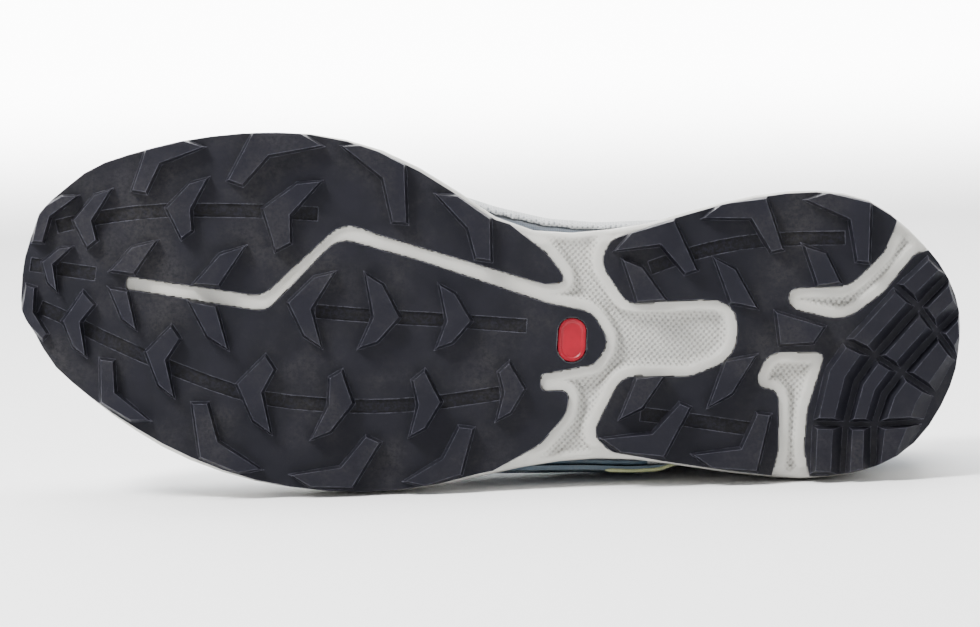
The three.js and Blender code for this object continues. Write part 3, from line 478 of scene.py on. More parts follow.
def foam_material(colours):
    """Pale midsole foam: smooth cast rims, and rows of small cells in the troughs between the pads, with
    painted shade darkening the trough floors and the cells' hollows.
    """
    made, nodes, surface = new_material("midsole foam")
    place = call(nodes, "shoe place")
    grain = call(nodes, "moulded grain", Vector=place["Place"], Size=1.6)
    dust = call(nodes, "dust", Vector=place["Place"], Amount=0.28)
    split = nodes.add("ShaderNodeSeparateXYZ", Vector=place["Place"])
    trough = nodes.add("ShaderNodeAttribute")
    trough.attribute_name = "trough"
    cells = call(nodes, "cell lattice", Along=split.outputs[0], Across=split.outputs[1])
    base = nodes.mix(grain["Mottle"], colours.foam, colours.foam_shade)
    # Painted shade: the trough floors, recessed below the rims, are darkened.
    floor = nodes.mix(nodes.math("MULTIPLY", trough.outputs["Fac"], 0.55), base, colours.foam_trough_shade)
    # Painted shade in the hollows of the small cells, which are only a bump.
    hollow = nodes.math("MULTIPLY", cells["Hollow"], trough.outputs["Fac"])
    pit_shaded = nodes.mix(nodes.math("MULTIPLY", hollow, 0.9), floor, colours.foam_pit_shade)
    nodes.put(surface.inputs["Base Color"], nodes.mix(dust["Dust"], pit_shaded, colours.dirt))
    nodes.put(surface.inputs["Roughness"], nodes.band(grain["Mottle"], 0.0, 1.0, 0.5, 0.66))
    raised = nodes.math("MULTIPLY", nodes.math("MULTIPLY", cells["Height"], trough.outputs["Fac"]), 5.0)
    nodes.put(surface.inputs["Normal"], nodes.bump(nodes.math("ADD", grain["Height"], raised), 0.00011, 0.7))
    finish_surface(surface, specular=0.4)
    surface.inputs["Subsurface Weight"].default_value = 0.06
    surface.inputs["Subsurface Radius"].default_value = (0.003, 0.0025, 0.002)
    surface.inputs["Subsurface Scale"].default_value = 1.0
    return made


def mesh_material(colours):
    """Engineered mesh of the upper: rows of small openings between pale threads."""
    made, nodes, surface = new_material("upper mesh")
    place = call(nodes, "shoe place")
    laid = call(nodes, "upper wrap", Place=place["Place"])
    cells = call(nodes, "cell lattice", Along=laid["Along"], Across=laid["Round"],
                 Pitch=colours.mesh_pitch * 1.5, Row=colours.mesh_pitch * 0.8)
    threads = call(nodes, "plain weave", Vector=place["Place"], Pitch=colours.mesh_pitch * 0.45)
    dust = call(nodes, "dust", Vector=place["Place"], Amount=0.14)
    grain = call(nodes, "moulded grain", Vector=place["Place"], Size=2.0)
    tone = nodes.mix(nodes.math("MULTIPLY", grain["Mottle"], 0.25), colours.mesh, colours.mesh_shade)
    woven = nodes.mix(nodes.math("MULTIPLY", threads["Gap"], 0.35), tone, colours.mesh_shade)
    open_mesh = nodes.mix(nodes.math("MULTIPLY", cells["Hollow"], 0.7), woven, colours.mesh_deep)
    nodes.put(surface.inputs["Base Color"], nodes.mix(dust["Dust"], open_mesh, colours.dirt))
    height = nodes.math("ADD", nodes.math("MULTIPLY", cells["Height"], 2.5), threads["Height"])
    nodes.put(surface.inputs["Normal"], nodes.bump(height, 0.00016, 0.7))
    surface.inputs["Roughness"].default_value = 0.85
    finish_surface(surface, sheen=0.15, sheen_roughness=0.45, specular=0.25)
    return made


def cloth_material(name, tint, shade, pitch, sheen, roughness=0.85):
    """Woven or knitted cloth in two tones, with the gaps of its threads darker."""
    made, nodes, surface = new_material(name)
    place = call(nodes, "shoe place")
    weave = call(nodes, "plain weave", Vector=place["Place"], Pitch=pitch)
    dust = call(nodes, "dust", Vector=place["Place"], Amount=0.12)
    grain = call(nodes, "moulded grain", Vector=place["Place"], Size=2.0)
    tone = nodes.mix(nodes.math("MULTIPLY", grain["Mottle"], 0.4), tint, shade)
    threads = nodes.mix(nodes.math("MULTIPLY", weave["Gap"], 0.75), tone, shade)
    nodes.put(surface.inputs["Base Color"], nodes.mix(dust["Dust"], threads, (0.55, 0.52, 0.46, 1.0)))
    nodes.put(surface.inputs["Normal"], nodes.bump(weave["Height"], pitch * 0.18 * MM, 0.8))
    surface.inputs["Roughness"].default_value = roughness
    finish_surface(surface, sheen=sheen, sheen_roughness=0.45, specular=0.25)
    return made


def film_material(colours):
    """Welded film of the overlays: fine leather-like grain, faint gloss, paler edges."""
    made, nodes, surface = new_material("overlay film")
    place = call(nodes, "shoe place")
    grain = call(nodes, "moulded grain", Vector=place["Place"], Size=0.8)
    edge = call(nodes, "edge wear and highlight", Vector=place["Place"], Radius=0.0005)
    dust = call(nodes, "dust", Vector=place["Place"], Amount=0.15)
    base = nodes.mix(grain["Mottle"], colours.film, colours.film_shade)
    worn = nodes.mix(nodes.math("MULTIPLY", edge["Edge"], 0.35), base, colours.film_edge)
    nodes.put(surface.inputs["Base Color"], nodes.mix(dust["Dust"], worn, colours.dirt))
    nodes.put(surface.inputs["Roughness"], nodes.band(grain["Mottle"], 0.0, 1.0, 0.42, 0.56))
    nodes.put(surface.inputs["Normal"], nodes.bump(grain["Height"], 0.00006, 0.5))
    finish_surface(surface, specular=0.45, coat=0.05)
    return made


def gloss_material(colours):
    """Smooth moulded inset."""
    made, nodes, surface = new_material("inset")
    place = call(nodes, "shoe place")
    grain = call(nodes, "moulded grain", Vector=place["Place"], Size=0.7)
    nodes.put(surface.inputs["Base Color"], nodes.mix(grain["Mottle"], colours.inset, colours.inset_shade))
    nodes.put(surface.inputs["Normal"], nodes.bump(grain["Height"], 0.00003, 0.4))
    surface.inputs["Roughness"].default_value = 0.33
    finish_surface(surface, specular=0.3, coat=0.1)
    surface.inputs["Coat Roughness"].default_value = 0.2
    return made


# Mesh tools

CURVE_STEPS = 8

def crease_by_angle(work, degrees):
    """Smooth faces with creases where the surface turns by more than an angle."""
    limit = math.radians(degrees)
    for face in work.faces:
        face.smooth = True
    for edge in work.edges:
        edge.smooth = len(edge.link_faces) == 2 and edge.calc_face_angle(0.0) < limit


def close_faces(work):
    """Turns a mesh's faces outwards and shades them smooth."""
    bmesh.ops.recalc_face_normals(work, faces=work.faces)
    crease_by_angle(work, SMOOTH)


def joined_flats(work, degrees):
    """Joins nearly flat faces and splits the large ones again."""
    bmesh.ops.dissolve_limit(work, angle_limit=math.radians(degrees), verts=work.verts, edges=work.edges)
    bmesh.ops.triangulate(work, faces=[face for face in work.faces if len(face.verts) > 4])


def round_edges(piece, name, width, segments, degrees):
    """Bevel that rounds a piece's edges, as a mould or a press leaves them."""
    bevel = piece.modifiers.new(name, "BEVEL")
    bevel.width = width
    bevel.segments = segments
    bevel.limit_method = "ANGLE"
    bevel.angle_limit = math.radians(degrees)
    return bevel


def node_work(name):
    """A merged copy of a node's mesh, with its faces turned outwards."""
    work = bmesh.new()
    work.from_mesh(frame["nodes"][name].data)
    bmesh.ops.remove_doubles(work, verts=work.verts, dist=0.00002)
    bmesh.ops.recalc_face_normals(work, faces=work.faces)
    return work


def place_piece(name, work, materials, replaced=()):
    """Object of a finished mesh that rides on the shoe."""
    mesh = bpy.data.meshes.new(name)
    work.to_mesh(mesh)
    work.free()
    piece = bpy.data.objects.new(name, mesh)
    bpy.context.scene.collection.objects.link(piece)
    for material in materials:
        mesh.materials.append(material)
    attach(piece, "root")
    if replaced:
        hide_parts(*replaced)
    return piece


def surface_tree(*names):
    """Search tree over the surfaces of some nodes, in the frame."""
    joined = bmesh.new()
    for name in names:
        joined.from_mesh(frame["nodes"][name].data)
    tree = BVHTree.FromBMesh(joined)
    joined.free()
    return tree


def add_tube(work, path, width, height, sides=8, facing=None, closed=False, taper=()):
    """A tube of oval section along a path. Its height lies along facing, one direction a point."""
    count = len(path)
    rings = []
    for i, point in enumerate(path):
        before = path[(i - 1) % count] if closed else path[max(i - 1, 0)]
        after = path[(i + 1) % count] if closed else path[min(i + 1, count - 1)]
        tangent = (after - before).normalized()
        lean = facing[i] if facing else Vector((0, 0, 1))
        outward = (lean - tangent * lean.dot(tangent)).normalized()
        sideways = tangent.cross(outward)
        share = (taper[i] if taper else 1.0) / 2
        section = (sideways * width * share, outward * height * share, tangent)
        turn = Matrix(section).transposed().to_4x4()
        turn.translation = point
        made = bmesh.ops.create_circle(work, segments=sides, radius=1.0, cap_ends=False, matrix=turn)
        rings.append([edge for vert in made["verts"] for edge in vert.link_edges])
    pairs = list(zip(rings, rings[1:]))
    if closed:
        pairs.append((rings[-1], rings[0]))
    for first, second in pairs:
        bmesh.ops.bridge_loops(work, edges=list(set(first + second)))
    if not closed:
        for ring in (rings[0], rings[-1]):
            bmesh.ops.contextual_create(work, geom=list(set(ring)))


def resampled(points, spacing):
    """Points at even steps along a smooth line through some points."""
    dense = []
    for i in range(len(points) - 1):
        before = points[max(i - 1, 0)]
        after = points[min(i + 2, len(points) - 1)]
        for k in range(CURVE_STEPS):
            t = k / CURVE_STEPS
            first, last = points[i], points[i + 1]
            start, end = (last - before) / 2, (after - first) / 2
            dense.append(first * (2 * t ** 3 - 3 * t ** 2 + 1) + start * (t ** 3 - 2 * t ** 2 + t)
                         + last * (3 * t ** 2 - 2 * t ** 3) + end * (t ** 3 - t ** 2))
    dense.append(points[-1])
    total = sum((b - a).length for a, b in zip(dense, dense[1:]))
    count = max(2, round(total / spacing))
    result, reached, index = [dense[0]], 0.0, 0
    for k in range(1, count):
        wanted = total * k / count
        while reached + (dense[index + 1] - dense[index]).length < wanted:
            reached += (dense[index + 1] - dense[index]).length
            index += 1
        part = (wanted - reached) / (dense[index + 1] - dense[index]).length
        result.append(dense[index].lerp(dense[index + 1], part))
    return result + [dense[-1]]


def soften(work, rounds, factor=0.5):
    """Evens out a mesh, as cloth does."""
    for _ in range(rounds):
        bmesh.ops.smooth_vert(work, verts=work.verts, factor=factor, use_axis_x=True, use_axis_y=True,
                              use_axis_z=True)


def swell(work, height):
    """Moves a mesh outwards by an even height."""
    work.normal_update()
    for vert in work.verts:
        vert.co += vert.normal * height


def remeshed(work, voxel):
    """The same form as an even grid of small faces."""
    mesh = bpy.data.meshes.new("remesh")
    work.to_mesh(mesh)
    work.free()
    holder = bpy.data.objects.new("remesh", mesh)
    bpy.context.scene.collection.objects.link(holder)
    change = holder.modifiers.new("remesh", "REMESH")
    change.mode = "VOXEL"
    change.voxel_size = voxel
    evaluated = holder.evaluated_get(bpy.context.evaluated_depsgraph_get())
    result = bmesh.new()
    result.from_mesh(evaluated.to_mesh())
    evaluated.to_mesh_clear()
    bpy.data.objects.remove(holder)
    bpy.data.meshes.remove(mesh)
    return result


def step(value, low, high):
    """Smooth rise from 0 to 1 between two values."""
    share = min(1.0, max(0.0, (value - low) / (high - low)))
    return share * share * (3 - 2 * share)


def tread_depth(place):
    """How far a place in the shoe's axes lies behind the tread face."""
    toe = max(0.0, 1 - place.x / TOE_SPRING_END)
    heel = max(0.0, (place.x - HEEL_SPRING_START) / (SOLE_LENGTH - HEEL_SPRING_START))
    return place.z - TOE_SPRING * toe ** 2 - HEEL_SPRING * heel ** 2


def shape_foam(work):
    """Gives the foam between the pads its rounded rims and its troughs, and marks the troughs."""
    pads = surface_tree("outsole_forefoot", "outsole_heel", "sole_plug")
    whole = BVHTree.FromBMesh(work)
    down = shoe_direction(0.0, 0.0, -1.0)

    def falls_away(place, direction):
        level = direction - down * direction.dot(down)
        beyond = place + (level.normalized() + down) * BRINK_REACH * MM
        return whole.ray_cast(beyond, -down, 3 * BRINK_REACH * MM)[0] is None

    def bare(place, normal):
        depth = tread_depth(TO_SHOE @ place)
        if not SHALLOWEST_FOAM < depth < DEEPEST_TROUGH or pads.ray_cast(place, down)[0] is not None:
            return False
        slope = normal.dot(down)
        return slope > SHOWN_SLOPE or slope > WALL_SLOPE and not falls_away(place, normal)

    faces = [face for face in work.faces if bare(face.calc_center_median(), face.normal)]
    edges = list({edge for face in faces for edge in face.edges})
    bmesh.ops.subdivide_edges(work, edges=edges, cuts=1, use_grid_fill=True)
    work.normal_update()
    mark = work.verts.layers.float.new("trough")
    shown = [vert for vert in work.verts if bare(vert.co, vert.normal)]
    chosen = set(shown)
    side = [vert for vert in shown
            if pads.find_nearest(vert.co)[3] > PAD_MARGIN * MM
            and any(near.normal.dot(down) < SHOWN_SLOPE and falls_away(vert.co, near.normal)
                    for near in (edge.other_vert(vert) for edge in vert.link_edges))]
    outer = KDTree(len(side))
    for i, vert in enumerate(side):
        outer.insert(vert.co, i)
    outer.balance()
    for vert in shown:
        gap = max(0.0, pads.find_nearest(vert.co)[3] / MM - CLEARANCE)
        margin = step(outer.find(vert.co)[2] / MM, *SIDE_MARGIN) if side else 1.0
        rim = RIM_RISE * (1 - step(gap, *RIM_END))
        wanted = FOAM_FACE - rim + TROUGH_DEPTH * step(gap, *TROUGH_START)
        depth = tread_depth(TO_SHOE @ vert.co)
        if gap < BRINK_REACH and falls_away(vert.co, vert.co - pads.find_nearest(vert.co)[0]):
            margin = 0.0
        vert.co += down * (depth - wanted) * MM * margin
        vert[mark] = step(gap, *TROUGH_CELLS) * margin
    inner = [vert for vert in shown if all(edge.other_vert(vert) in chosen for edge in vert.link_edges)]
    bmesh.ops.smooth_vert(work, verts=inner, factor=0.5, use_axis_x=True, use_axis_y=True, use_axis_z=True)


# Pieces

def collar_line(tree, drop):
    """Points on the collar's inner wall from its inner front end round the heel to its outer one."""
    straight = [COLLAR_START + (COLLAR_TURN - COLLAR_START) * i / COLLAR_STEPS for i in range(COLLAR_STEPS)]
    rays = [(x, 0.0, -1.0) for x in straight]
    for i in range(COLLAR_FAN + 1):
        angle = math.pi * i / COLLAR_FAN
        rays.append((COLLAR_TURN, math.sin(angle), -math.cos(angle)))
    rays += [(x, 0.0, 1.0) for x in reversed(straight)]
    points = []
    inwards = []
    for x, run, side in rays:
        outward = shoe_direction(run, side, 0.0)
        low, high = COLLAR_SEARCH
        for _ in range(SEARCH_ROUNDS):
            middle = (low + high) / 2
            if tree.ray_cast(shoe_point(x, 0.0, middle), outward)[0] is None:
                high = middle
            else:
                low = middle
        found = tree.ray_cast(shoe_point(x, 0.0, low - drop), outward)[0]
        points.append(found)
        inwards.append(-outward)
    return points, inwards


def even(points, rounds):
    """The same line with its small jumps taken out; its ends stay."""
    for _ in range(rounds):
        middle = [(a + b * 2 + c) / 4 for a, b, c in zip(points, points[1:], points[2:])]
        points = [points[0], *middle, points[-1]]
    return points


def make_rubber(settings):
    """Both rubber pads, with their edges slightly rounded as a mould leaves them."""
    rubber = rubber_material(settings)
    for node in ("outsole_forefoot", "outsole_heel"):
        work = node_work(node)
        joined_flats(work, RUBBER_FLAT)
        crease_by_angle(work, RUBBER_CREASE)
        piece = place_piece(node + "_finish", work, [rubber], [node])
        bevel = round_edges(piece, "mould radius", settings.lug_radius, 2, RUBBER_CREASE)
        bevel.harden_normals = True


def parted(work, keep):
    """The part of a mesh above or below the mould's parting line, closed along it."""
    outward = shoe_direction(0.0, 0.0, -keep)
    cut = bmesh.ops.bisect_plane(work, geom=[*work.verts, *work.edges, *work.faces], clear_outer=True,
                                 plane_co=shoe_point(0.0, 0.0, PARTING_HEIGHT), plane_no=outward)
    rim = [one for one in cut["geom_cut"] if isinstance(one, bmesh.types.BMEdge)]
    closed = bmesh.ops.holes_fill(work, edges=rim)["faces"]
    bmesh.ops.triangulate(work, faces=closed)


def make_foam(settings):
    """The foam, sculpted below its parting line, and the small inset that stands in its window."""
    work = remeshed(node_work("midsole"), settings.foam_grid)
    soften(work, FOAM_ROUNDS)
    parted(work, -1.0)
    shape_foam(work)
    crease_by_angle(work, FOAM_CREASE[0])
    sides = node_work("midsole")
    parted(sides, 1.0)
    crease_by_angle(sides, FOAM_CREASE[1])
    joined = bpy.data.meshes.new("foam sides")
    sides.to_mesh(joined)
    sides.free()
    work.from_mesh(joined)
    bpy.data.meshes.remove(joined)
    place_piece("midsole_finish", work, [foam_material(settings)], ["midsole"])
    inset = node_work("sole_plug")
    bmesh.ops.dissolve_limit(inset, angle_limit=math.radians(INSET_FLAT), verts=inset.verts,
                             edges=inset.edges)
    down = shoe_direction(0.0, 0.0, -1.0)
    front = max(inset.faces, key=lambda face: face.calc_area() * face.normal.dot(down))
    bmesh.ops.inset_individual(inset, faces=[front], thickness=settings.inset_frame, depth=0.0)
    bmesh.ops.inset_individual(inset, faces=[front], thickness=settings.lug_radius,
                               depth=-settings.inset_step)
    crease_by_angle(inset, RUBBER_CREASE)
    piece = place_piece("sole_plug_finish", inset, [gloss_material(settings)], ["sole_plug"])
    round_edges(piece, "mould radius", settings.lug_radius, 3, INSET_EDGE)


def make_upper(settings):
    """The mesh upper with its lining inside, and the insole under it."""
    lining = cloth_material("lining cloth", settings.lining, settings.lining_shade,
                            settings.lining_pitch, 0.35)
    film = film_material(settings)
    materials = [mesh_material(settings), lining, film]
    work = remeshed(node_work("upper"), settings.cloth_grid)
    soften(work, CLOTH_ROUNDS)
    crease_by_angle(work, SMOOTH)
    for face in work.faces:
        centre = TO_SHOE @ face.calc_center_median()
        normal = (TO_SHOE.to_3x3() @ face.normal).normalized()
        inward = Vector((0.0, -centre.y, UPPER_AXIS - centre.z))
        if centre.x > HEEL_ROOM:
            inward.x = HEEL_ROOM - centre.x
        foot = WING_FOOT[0] < centre.x < WING_FOOT[1] and centre.y > 0 and centre.z < WING_FOOT[2]
        face.material_index = 0
        if normal.dot(inward.normalized()) > INWARD_LEAST:
            face.material_index = materials.index(lining)
        elif foot:
            face.material_index = materials.index(film)
    place_piece("upper_finish", work, materials, ["upper"])
    board = remeshed(node_work("insole"), settings.cloth_grid)
    soften(board, BOARD_ROUNDS)
    swell(board, settings.board_swell)
    crease_by_angle(board, SMOOTH)
    place_piece("insole_finish", board, [lining], ["insole"])


def make_overlays(settings):
    """Toe cap, heel counter and the two halves of the eyestay."""
    film = bpy.data.materials["overlay film"]
    for node in ("toe_cap", "heel_counter", "saddle_lateral", "eyestay_medial"):
        work = node_work(node)
        joined_flats(work, FILM_FLAT)
        crease_by_angle(work, FILM_CREASE)
        piece = place_piece(node + "_finish", work, [film], [node])
        bevel = round_edges(piece, "pressed edge", settings.film_radius, 2, FILM_EDGE)
        bevel.harden_normals = True


def make_collar(settings):
    """The padded roll round the collar, and the padded tongue."""
    tree = surface_tree("upper")
    points, inwards = collar_line(tree, settings.roll_height / MM * ROLL_DROP)
    shift = settings.roll_thickness * ROLL_SHIFT
    path = even([point - inward * shift for point, inward in zip(points, inwards)], 3)
    upward = shoe_direction(0.0, 0.0, 1.0)
    taper = [*ROLL_ENDS, *[1.0] * (len(path) - 2 * len(ROLL_ENDS)), *reversed(ROLL_ENDS)]
    work = bmesh.new()
    add_tube(work, path, settings.roll_thickness, settings.roll_height, ROLL_SIDES, [upward] * len(path),
             taper=taper)
    close_faces(work)
    knit = cloth_material("collar knit", settings.collar, settings.collar_shade, settings.lining_pitch, 0.3)
    roll = place_piece("collar_roll", work, [knit])
    tongue = remeshed(node_work("tongue"), settings.cloth_grid)
    soften(tongue, TONGUE_ROUNDS)
    crease_by_angle(tongue, SMOOTH)
    pad = place_piece("tongue_finish", tongue, [knit], ["tongue"])


def eyelet_places():
    """Middle and outward direction of each eyelet, row by row, outer side first."""
    film = surface_tree("saddle_lateral", "eyestay_medial")
    rows = []
    for row in range(EYELET_ROWS):
        station = EYELET_FRONT + (EYELET_BACK - EYELET_FRONT) * row / (EYELET_ROWS - 1)
        sides = []
        for sign in (1, -1):
            share = (station - EYELET_FRONT) / (EYELET_BACK - EYELET_FRONT)
            reach = EYELET_REACH[0] + (EYELET_REACH[1] - EYELET_REACH[0]) * share
            middle = THROAT_SIDE[0] + (THROAT_SIDE[1] - THROAT_SIDE[0]) * share
            x, y = station * SOLE_LENGTH * 0.001, middle + sign * reach
            around = []
            for turn in range(EYELET_RAYS):
                angle = math.tau * turn / EYELET_RAYS
                above = shoe_point(x + EYELET_EDGE * math.cos(angle),
                                   y + EYELET_EDGE * math.sin(angle), ABOVE)
                found = film.ray_cast(above, shoe_direction(0.0, 0.0, -1.0))[0]
                if found is not None:
                    around.append(found)
            centre = sum(around, Vector()) / len(around)
            first, second = around[0] - centre, around[len(around) // 4] - centre
            normal = first.cross(second).normalized()
            if normal.dot(shoe_direction(0.0, 0.0, 1.0)) < 0:
                normal.negate()
            sides.append((centre, normal))
        rows.append(sides)
    return rows


def make_laces(settings):
    """Flat lace, crossed over the tongue and pulled through every eyelet, and the eyelets' rims."""
    rows = eyelet_places()
    skin = surface_tree("lace_bars", "tongue", "saddle_lateral", "eyestay_medial")
    lace = bmesh.new()
    crossings = [(rows[0][0], rows[0][1], 0.0)]
    for row in range(EYELET_ROWS - 1):
        crossings.append((rows[row][0], rows[row + 1][1], 0.0))
        crossings.append((rows[row][1], rows[row + 1][0], settings.lace_thickness * LACE_OVER))
    for (start, out_start), (end, out_end), lift in crossings:
        upward = (out_start + out_end).normalized()
        mid = []
        for part in LACE_PARTS:
            point = start.lerp(end, part)
            found = skin.ray_cast(point + upward * LACE_SEARCH, -upward)[0]
            rise = lift * math.sin(math.pi * part) ** 2
            base = found if found is not None else point + upward * settings.lace_thickness
            mid.append(base + upward * (rise - settings.lace_thickness * LACE_SINK))
        path = [*(start + out_start * depth for depth in LACE_ENTRY), *mid,
                *(end + out_end * depth for depth in reversed(LACE_ENTRY))]
        path = resampled(path, LACE_SPACING)
        share = [i / (len(path) - 1) for i in range(len(path))]
        nearest = [min(t, 1 - t) for t in share]
        taper = [LACE_PINCH + (1 - LACE_PINCH) * min(1.0, near * LACE_WIDENS) for near in nearest]
        chord = (end - start).normalized() * LACE_TILT
        turned = []
        for t, near in zip(share, nearest):
            outward = (out_start * (1 - t) + out_end * t).normalized()
            tilt = chord * (1 if t > 0.5 else -1) * max(0.0, 1 - near * LACE_LEVELS)
            turned.append((outward - tilt).normalized())
        add_tube(lace, path, settings.lace_width, settings.lace_thickness, LACE_SIDES, turned, taper=taper)
    close_faces(lace)
    woven = cloth_material("lace weave", settings.lace, settings.lace_shade, settings.lace_pitch, 0.2)
    place_piece("lace", lace, [woven], ["lace_bars"])
    rims = bmesh.new()
    for centre, normal in (place for sides in rows for place in sides):
        side = normal.orthogonal().normalized()
        other = normal.cross(side)
        ring = [centre + (side * math.cos(a) + other * math.sin(a)) * settings.eyelet_radius
                for a in (math.tau * i / EYELET_SIDES for i in range(EYELET_SIDES))]
        add_tube(rims, ring, RIM_WIRE, RIM_WIRE, THREAD_SIDES, [normal] * len(ring), closed=True)
    close_faces(rims)
    place_piece("eyelet_rims", rims, [bpy.data.materials["overlay film"]])


def make_trim(settings):
    """Stitches along the eyestay and piping at the foot of the outer wing."""
    film = surface_tree("saddle_lateral", "eyestay_medial")
    thread = bmesh.new()
    down = shoe_direction(0.0, 0.0, -1.0)
    gauge = settings.thread_radius * 2
    run = EYELET_BACK + STITCH_ENDS[1] - EYELET_FRONT
    for sign in (1, -1):
        for reach_from, reach_to in STITCH_ROWS:
            for i in range(STITCHES):
                share = i / (STITCHES - 1)
                ends = []
                for part in (share, share + STITCH_SHARE / STITCHES):
                    station = EYELET_FRONT + STITCH_ENDS[0] + run * part
                    middle = THROAT_SIDE[0] + (THROAT_SIDE[1] - THROAT_SIDE[0]) * part
                    side = middle + sign * (reach_from + (reach_to - reach_from) * part)
                    above = shoe_point(station * SOLE_LENGTH * 0.001, side, ABOVE)
                    ends.append(film.ray_cast(above, down))
                first, last = ends[0][0], ends[1][0]
                if first is None or last is None or (first - last).length > STITCH_LONGEST:
                    continue
                outward = ends[0][1] if ends[0][1].dot(down) < 0 else -ends[0][1]
                crest = (first + last) / 2 + outward * settings.thread_radius
                path = [first - outward * STITCH_SINK, crest, last - outward * STITCH_SINK]
                add_tube(thread, path, gauge, gauge, THREAD_SIDES, [outward] * len(path))
    close_faces(thread)
    piping = bmesh.new()
    side_skin = surface_tree("saddle_lateral", "upper")
    line = []
    outward = shoe_direction(0.0, 1.0, 0.0)
    for i in range(PIPING_STEPS + 1):
        share = i / PIPING_STEPS
        x = PIPING[0] + (PIPING[1] - PIPING[0]) * share
        heights = [PIPING_HEIGHTS[0] + (PIPING_HEIGHTS[1] - PIPING_HEIGHTS[0]) * k / PIPING_STEPS
                   for k in range(PIPING_STEPS + 1)]
        seen = [side_skin.ray_cast(shoe_point(x, BALL_WIDTH, height), -outward)[0] for height in heights]
        skin = [point for point in seen if point is not None]
        reach = max(point.dot(outward) for point in skin) - PIPING_INSET * MM
        edge = next(point for point in skin if point.dot(outward) >= reach)
        line.append(edge + down * settings.piping_radius)
    gauge = settings.piping_radius * 2
    taper = [*PIPING_ENDS, *[1.0] * (len(line) - 2 * len(PIPING_ENDS)), *reversed(PIPING_ENDS)]
    add_tube(piping, even(line, PIPING_ROUNDS), gauge, gauge, sides=PIPING_SIDES,
             facing=[outward] * len(line), taper=taper)
    close_faces(piping)
    cord = cloth_material("piping weave", settings.lace, settings.lace_shade, 0.5, 0.2)
    place_piece("wing_piping", piping, [cord])
    sewn = cloth_material("thread", settings.mesh, settings.mesh_shade, 0.4, 0.1)
    place_piece("stitches", thread, [sewn])


# Stage

def make_backdrop(settings):
    """Pale floor that turns up behind the shoe in one wide bend."""
    work = bmesh.new()
    reach, bend, rear = settings.floor_size, settings.bend_radius, settings.floor_rear
    bmesh.ops.create_grid(work, x_segments=1, y_segments=1, size=reach,
                          matrix=Matrix.Translation((0.0, rear - reach, 0.0)))
    back = [edge for edge in work.edges if all(vert.co.y > rear - EDGE_ROOM for vert in edge.verts)]
    bmesh.ops.spin(work, geom=back, cent=(0.0, rear, bend), axis=(1.0, 0.0, 0.0), angle=math.pi / 2,
                   steps=BEND_STEPS, use_duplicate=False)
    top = [edge for edge in work.edges if all(vert.co.z > bend - EDGE_ROOM for vert in edge.verts)]
    raised = bmesh.ops.extrude_edge_only(work, edges=top)["geom"]
    bmesh.ops.translate(work, verts=[one for one in raised if isinstance(one, bmesh.types.BMVert)],
                        vec=(0.0, 0.0, reach))
    crease_by_angle(work, FLOOR_CREASE)
    mesh = bpy.data.meshes.new("floor")
    work.to_mesh(mesh)
    work.free()
    floor = bpy.data.objects.new("floor", mesh)
    bpy.context.scene.collection.objects.link(floor)
    made, nodes, surface = new_material("floor")
    coordinates = nodes.add("ShaderNodeTexCoord").outputs["Object"]
    cloud = nodes.noise(coordinates, 2.0, 2.0)
    nodes.put(surface.inputs["Base Color"], nodes.mix(cloud, FLOOR_PALE, FLOOR_SHADE))
    surface.inputs["Roughness"].default_value = 0.95
    surface.inputs["Specular IOR Level"].default_value = 0.1
    mesh.materials.append(made)


def make_stage(settings):
    """Floor, soft lights and camera."""
    make_backdrop(settings)
    world = bpy.data.worlds.new("studio")
    world.use_nodes = True
    surroundings = world.node_tree.nodes["Background"]
    surroundings.inputs["Color"].default_value = (1.0, 1.0, 1.0, 1.0)
    surroundings.inputs["Strength"].default_value = settings.sky
    bpy.context.scene.world = world
    powers = (settings.key, settings.fill, settings.top, settings.back)
    for (name, row), power in zip(LAMPS.items(), powers):
        lamp = bpy.data.lights.new(name, "AREA")
        lamp.size = row["size"]
        lamp.energy = power
        light = bpy.data.objects.new(name, lamp)
        bpy.context.scene.collection.objects.link(light)
        light.location = row["place"]
        towards = Vector(row["target"]) - Vector(row["place"])
        light.rotation_euler = towards.to_track_quat("-Z", "Y").to_euler()
    make_camera(settings)


def make_camera(settings):
    """Camera at the photograph's angle: square to the tread, with the toe to the left."""
    right = shoe_direction(math.cos(PHOTO_TURN), -math.sin(PHOTO_TURN), 0.0)
    upward = -shoe_direction(math.sin(PHOTO_TURN), math.cos(PHOTO_TURN), 0.0)
    backward = shoe_direction(0.0, 0.0, -1.0)
    across = PHOTO_WIDTH / 2 - PHOTO_TOE[0]
    down = PHOTO_HEIGHT / 2 - PHOTO_TOE[1]
    x = (across * math.cos(PHOTO_TURN) + down * math.sin(PHOTO_TURN)) * PHOTO_PIXEL
    y = (down * math.cos(PHOTO_TURN) - across * math.sin(PHOTO_TURN)) * PHOTO_PIXEL
    target = shoe_point(x, y, OUTLINE_DEPTH)
    data = bpy.data.cameras.new("camera")
    data.sensor_width = SENSOR_WIDTH
    data.lens = data.sensor_width * settings.camera_distance / (PHOTO_WIDTH * PHOTO_PIXEL * MM)
    data.clip_end = CLIP_END
    camera = bpy.data.objects.new("camera", data)
    bpy.context.scene.collection.objects.link(camera)
    turn = Matrix((right, upward, backward)).transposed().to_4x4()
    turn.translation = target + backward * settings.camera_distance
    camera.matrix_world = turn
    bpy.context.scene.camera = camera


# Panel

def colour(name, text, value):
    """A colour of the shoe that the panel shows."""
    return FloatVectorProperty(name=name, description=text, default=(*value, 1.0), size=4,
                               subtype="COLOR", min=0.0, max=1.0)


def length(name, text, value):
    """A length of the shoe that the panel shows."""
    return FloatProperty(name=name, description=text, default=value, unit="LENGTH", precision=5, min=0.0)


def amount(name, text, value):
    """A strength that the panel shows."""
    return FloatProperty(name=name, description=text, default=value, min=0.0)


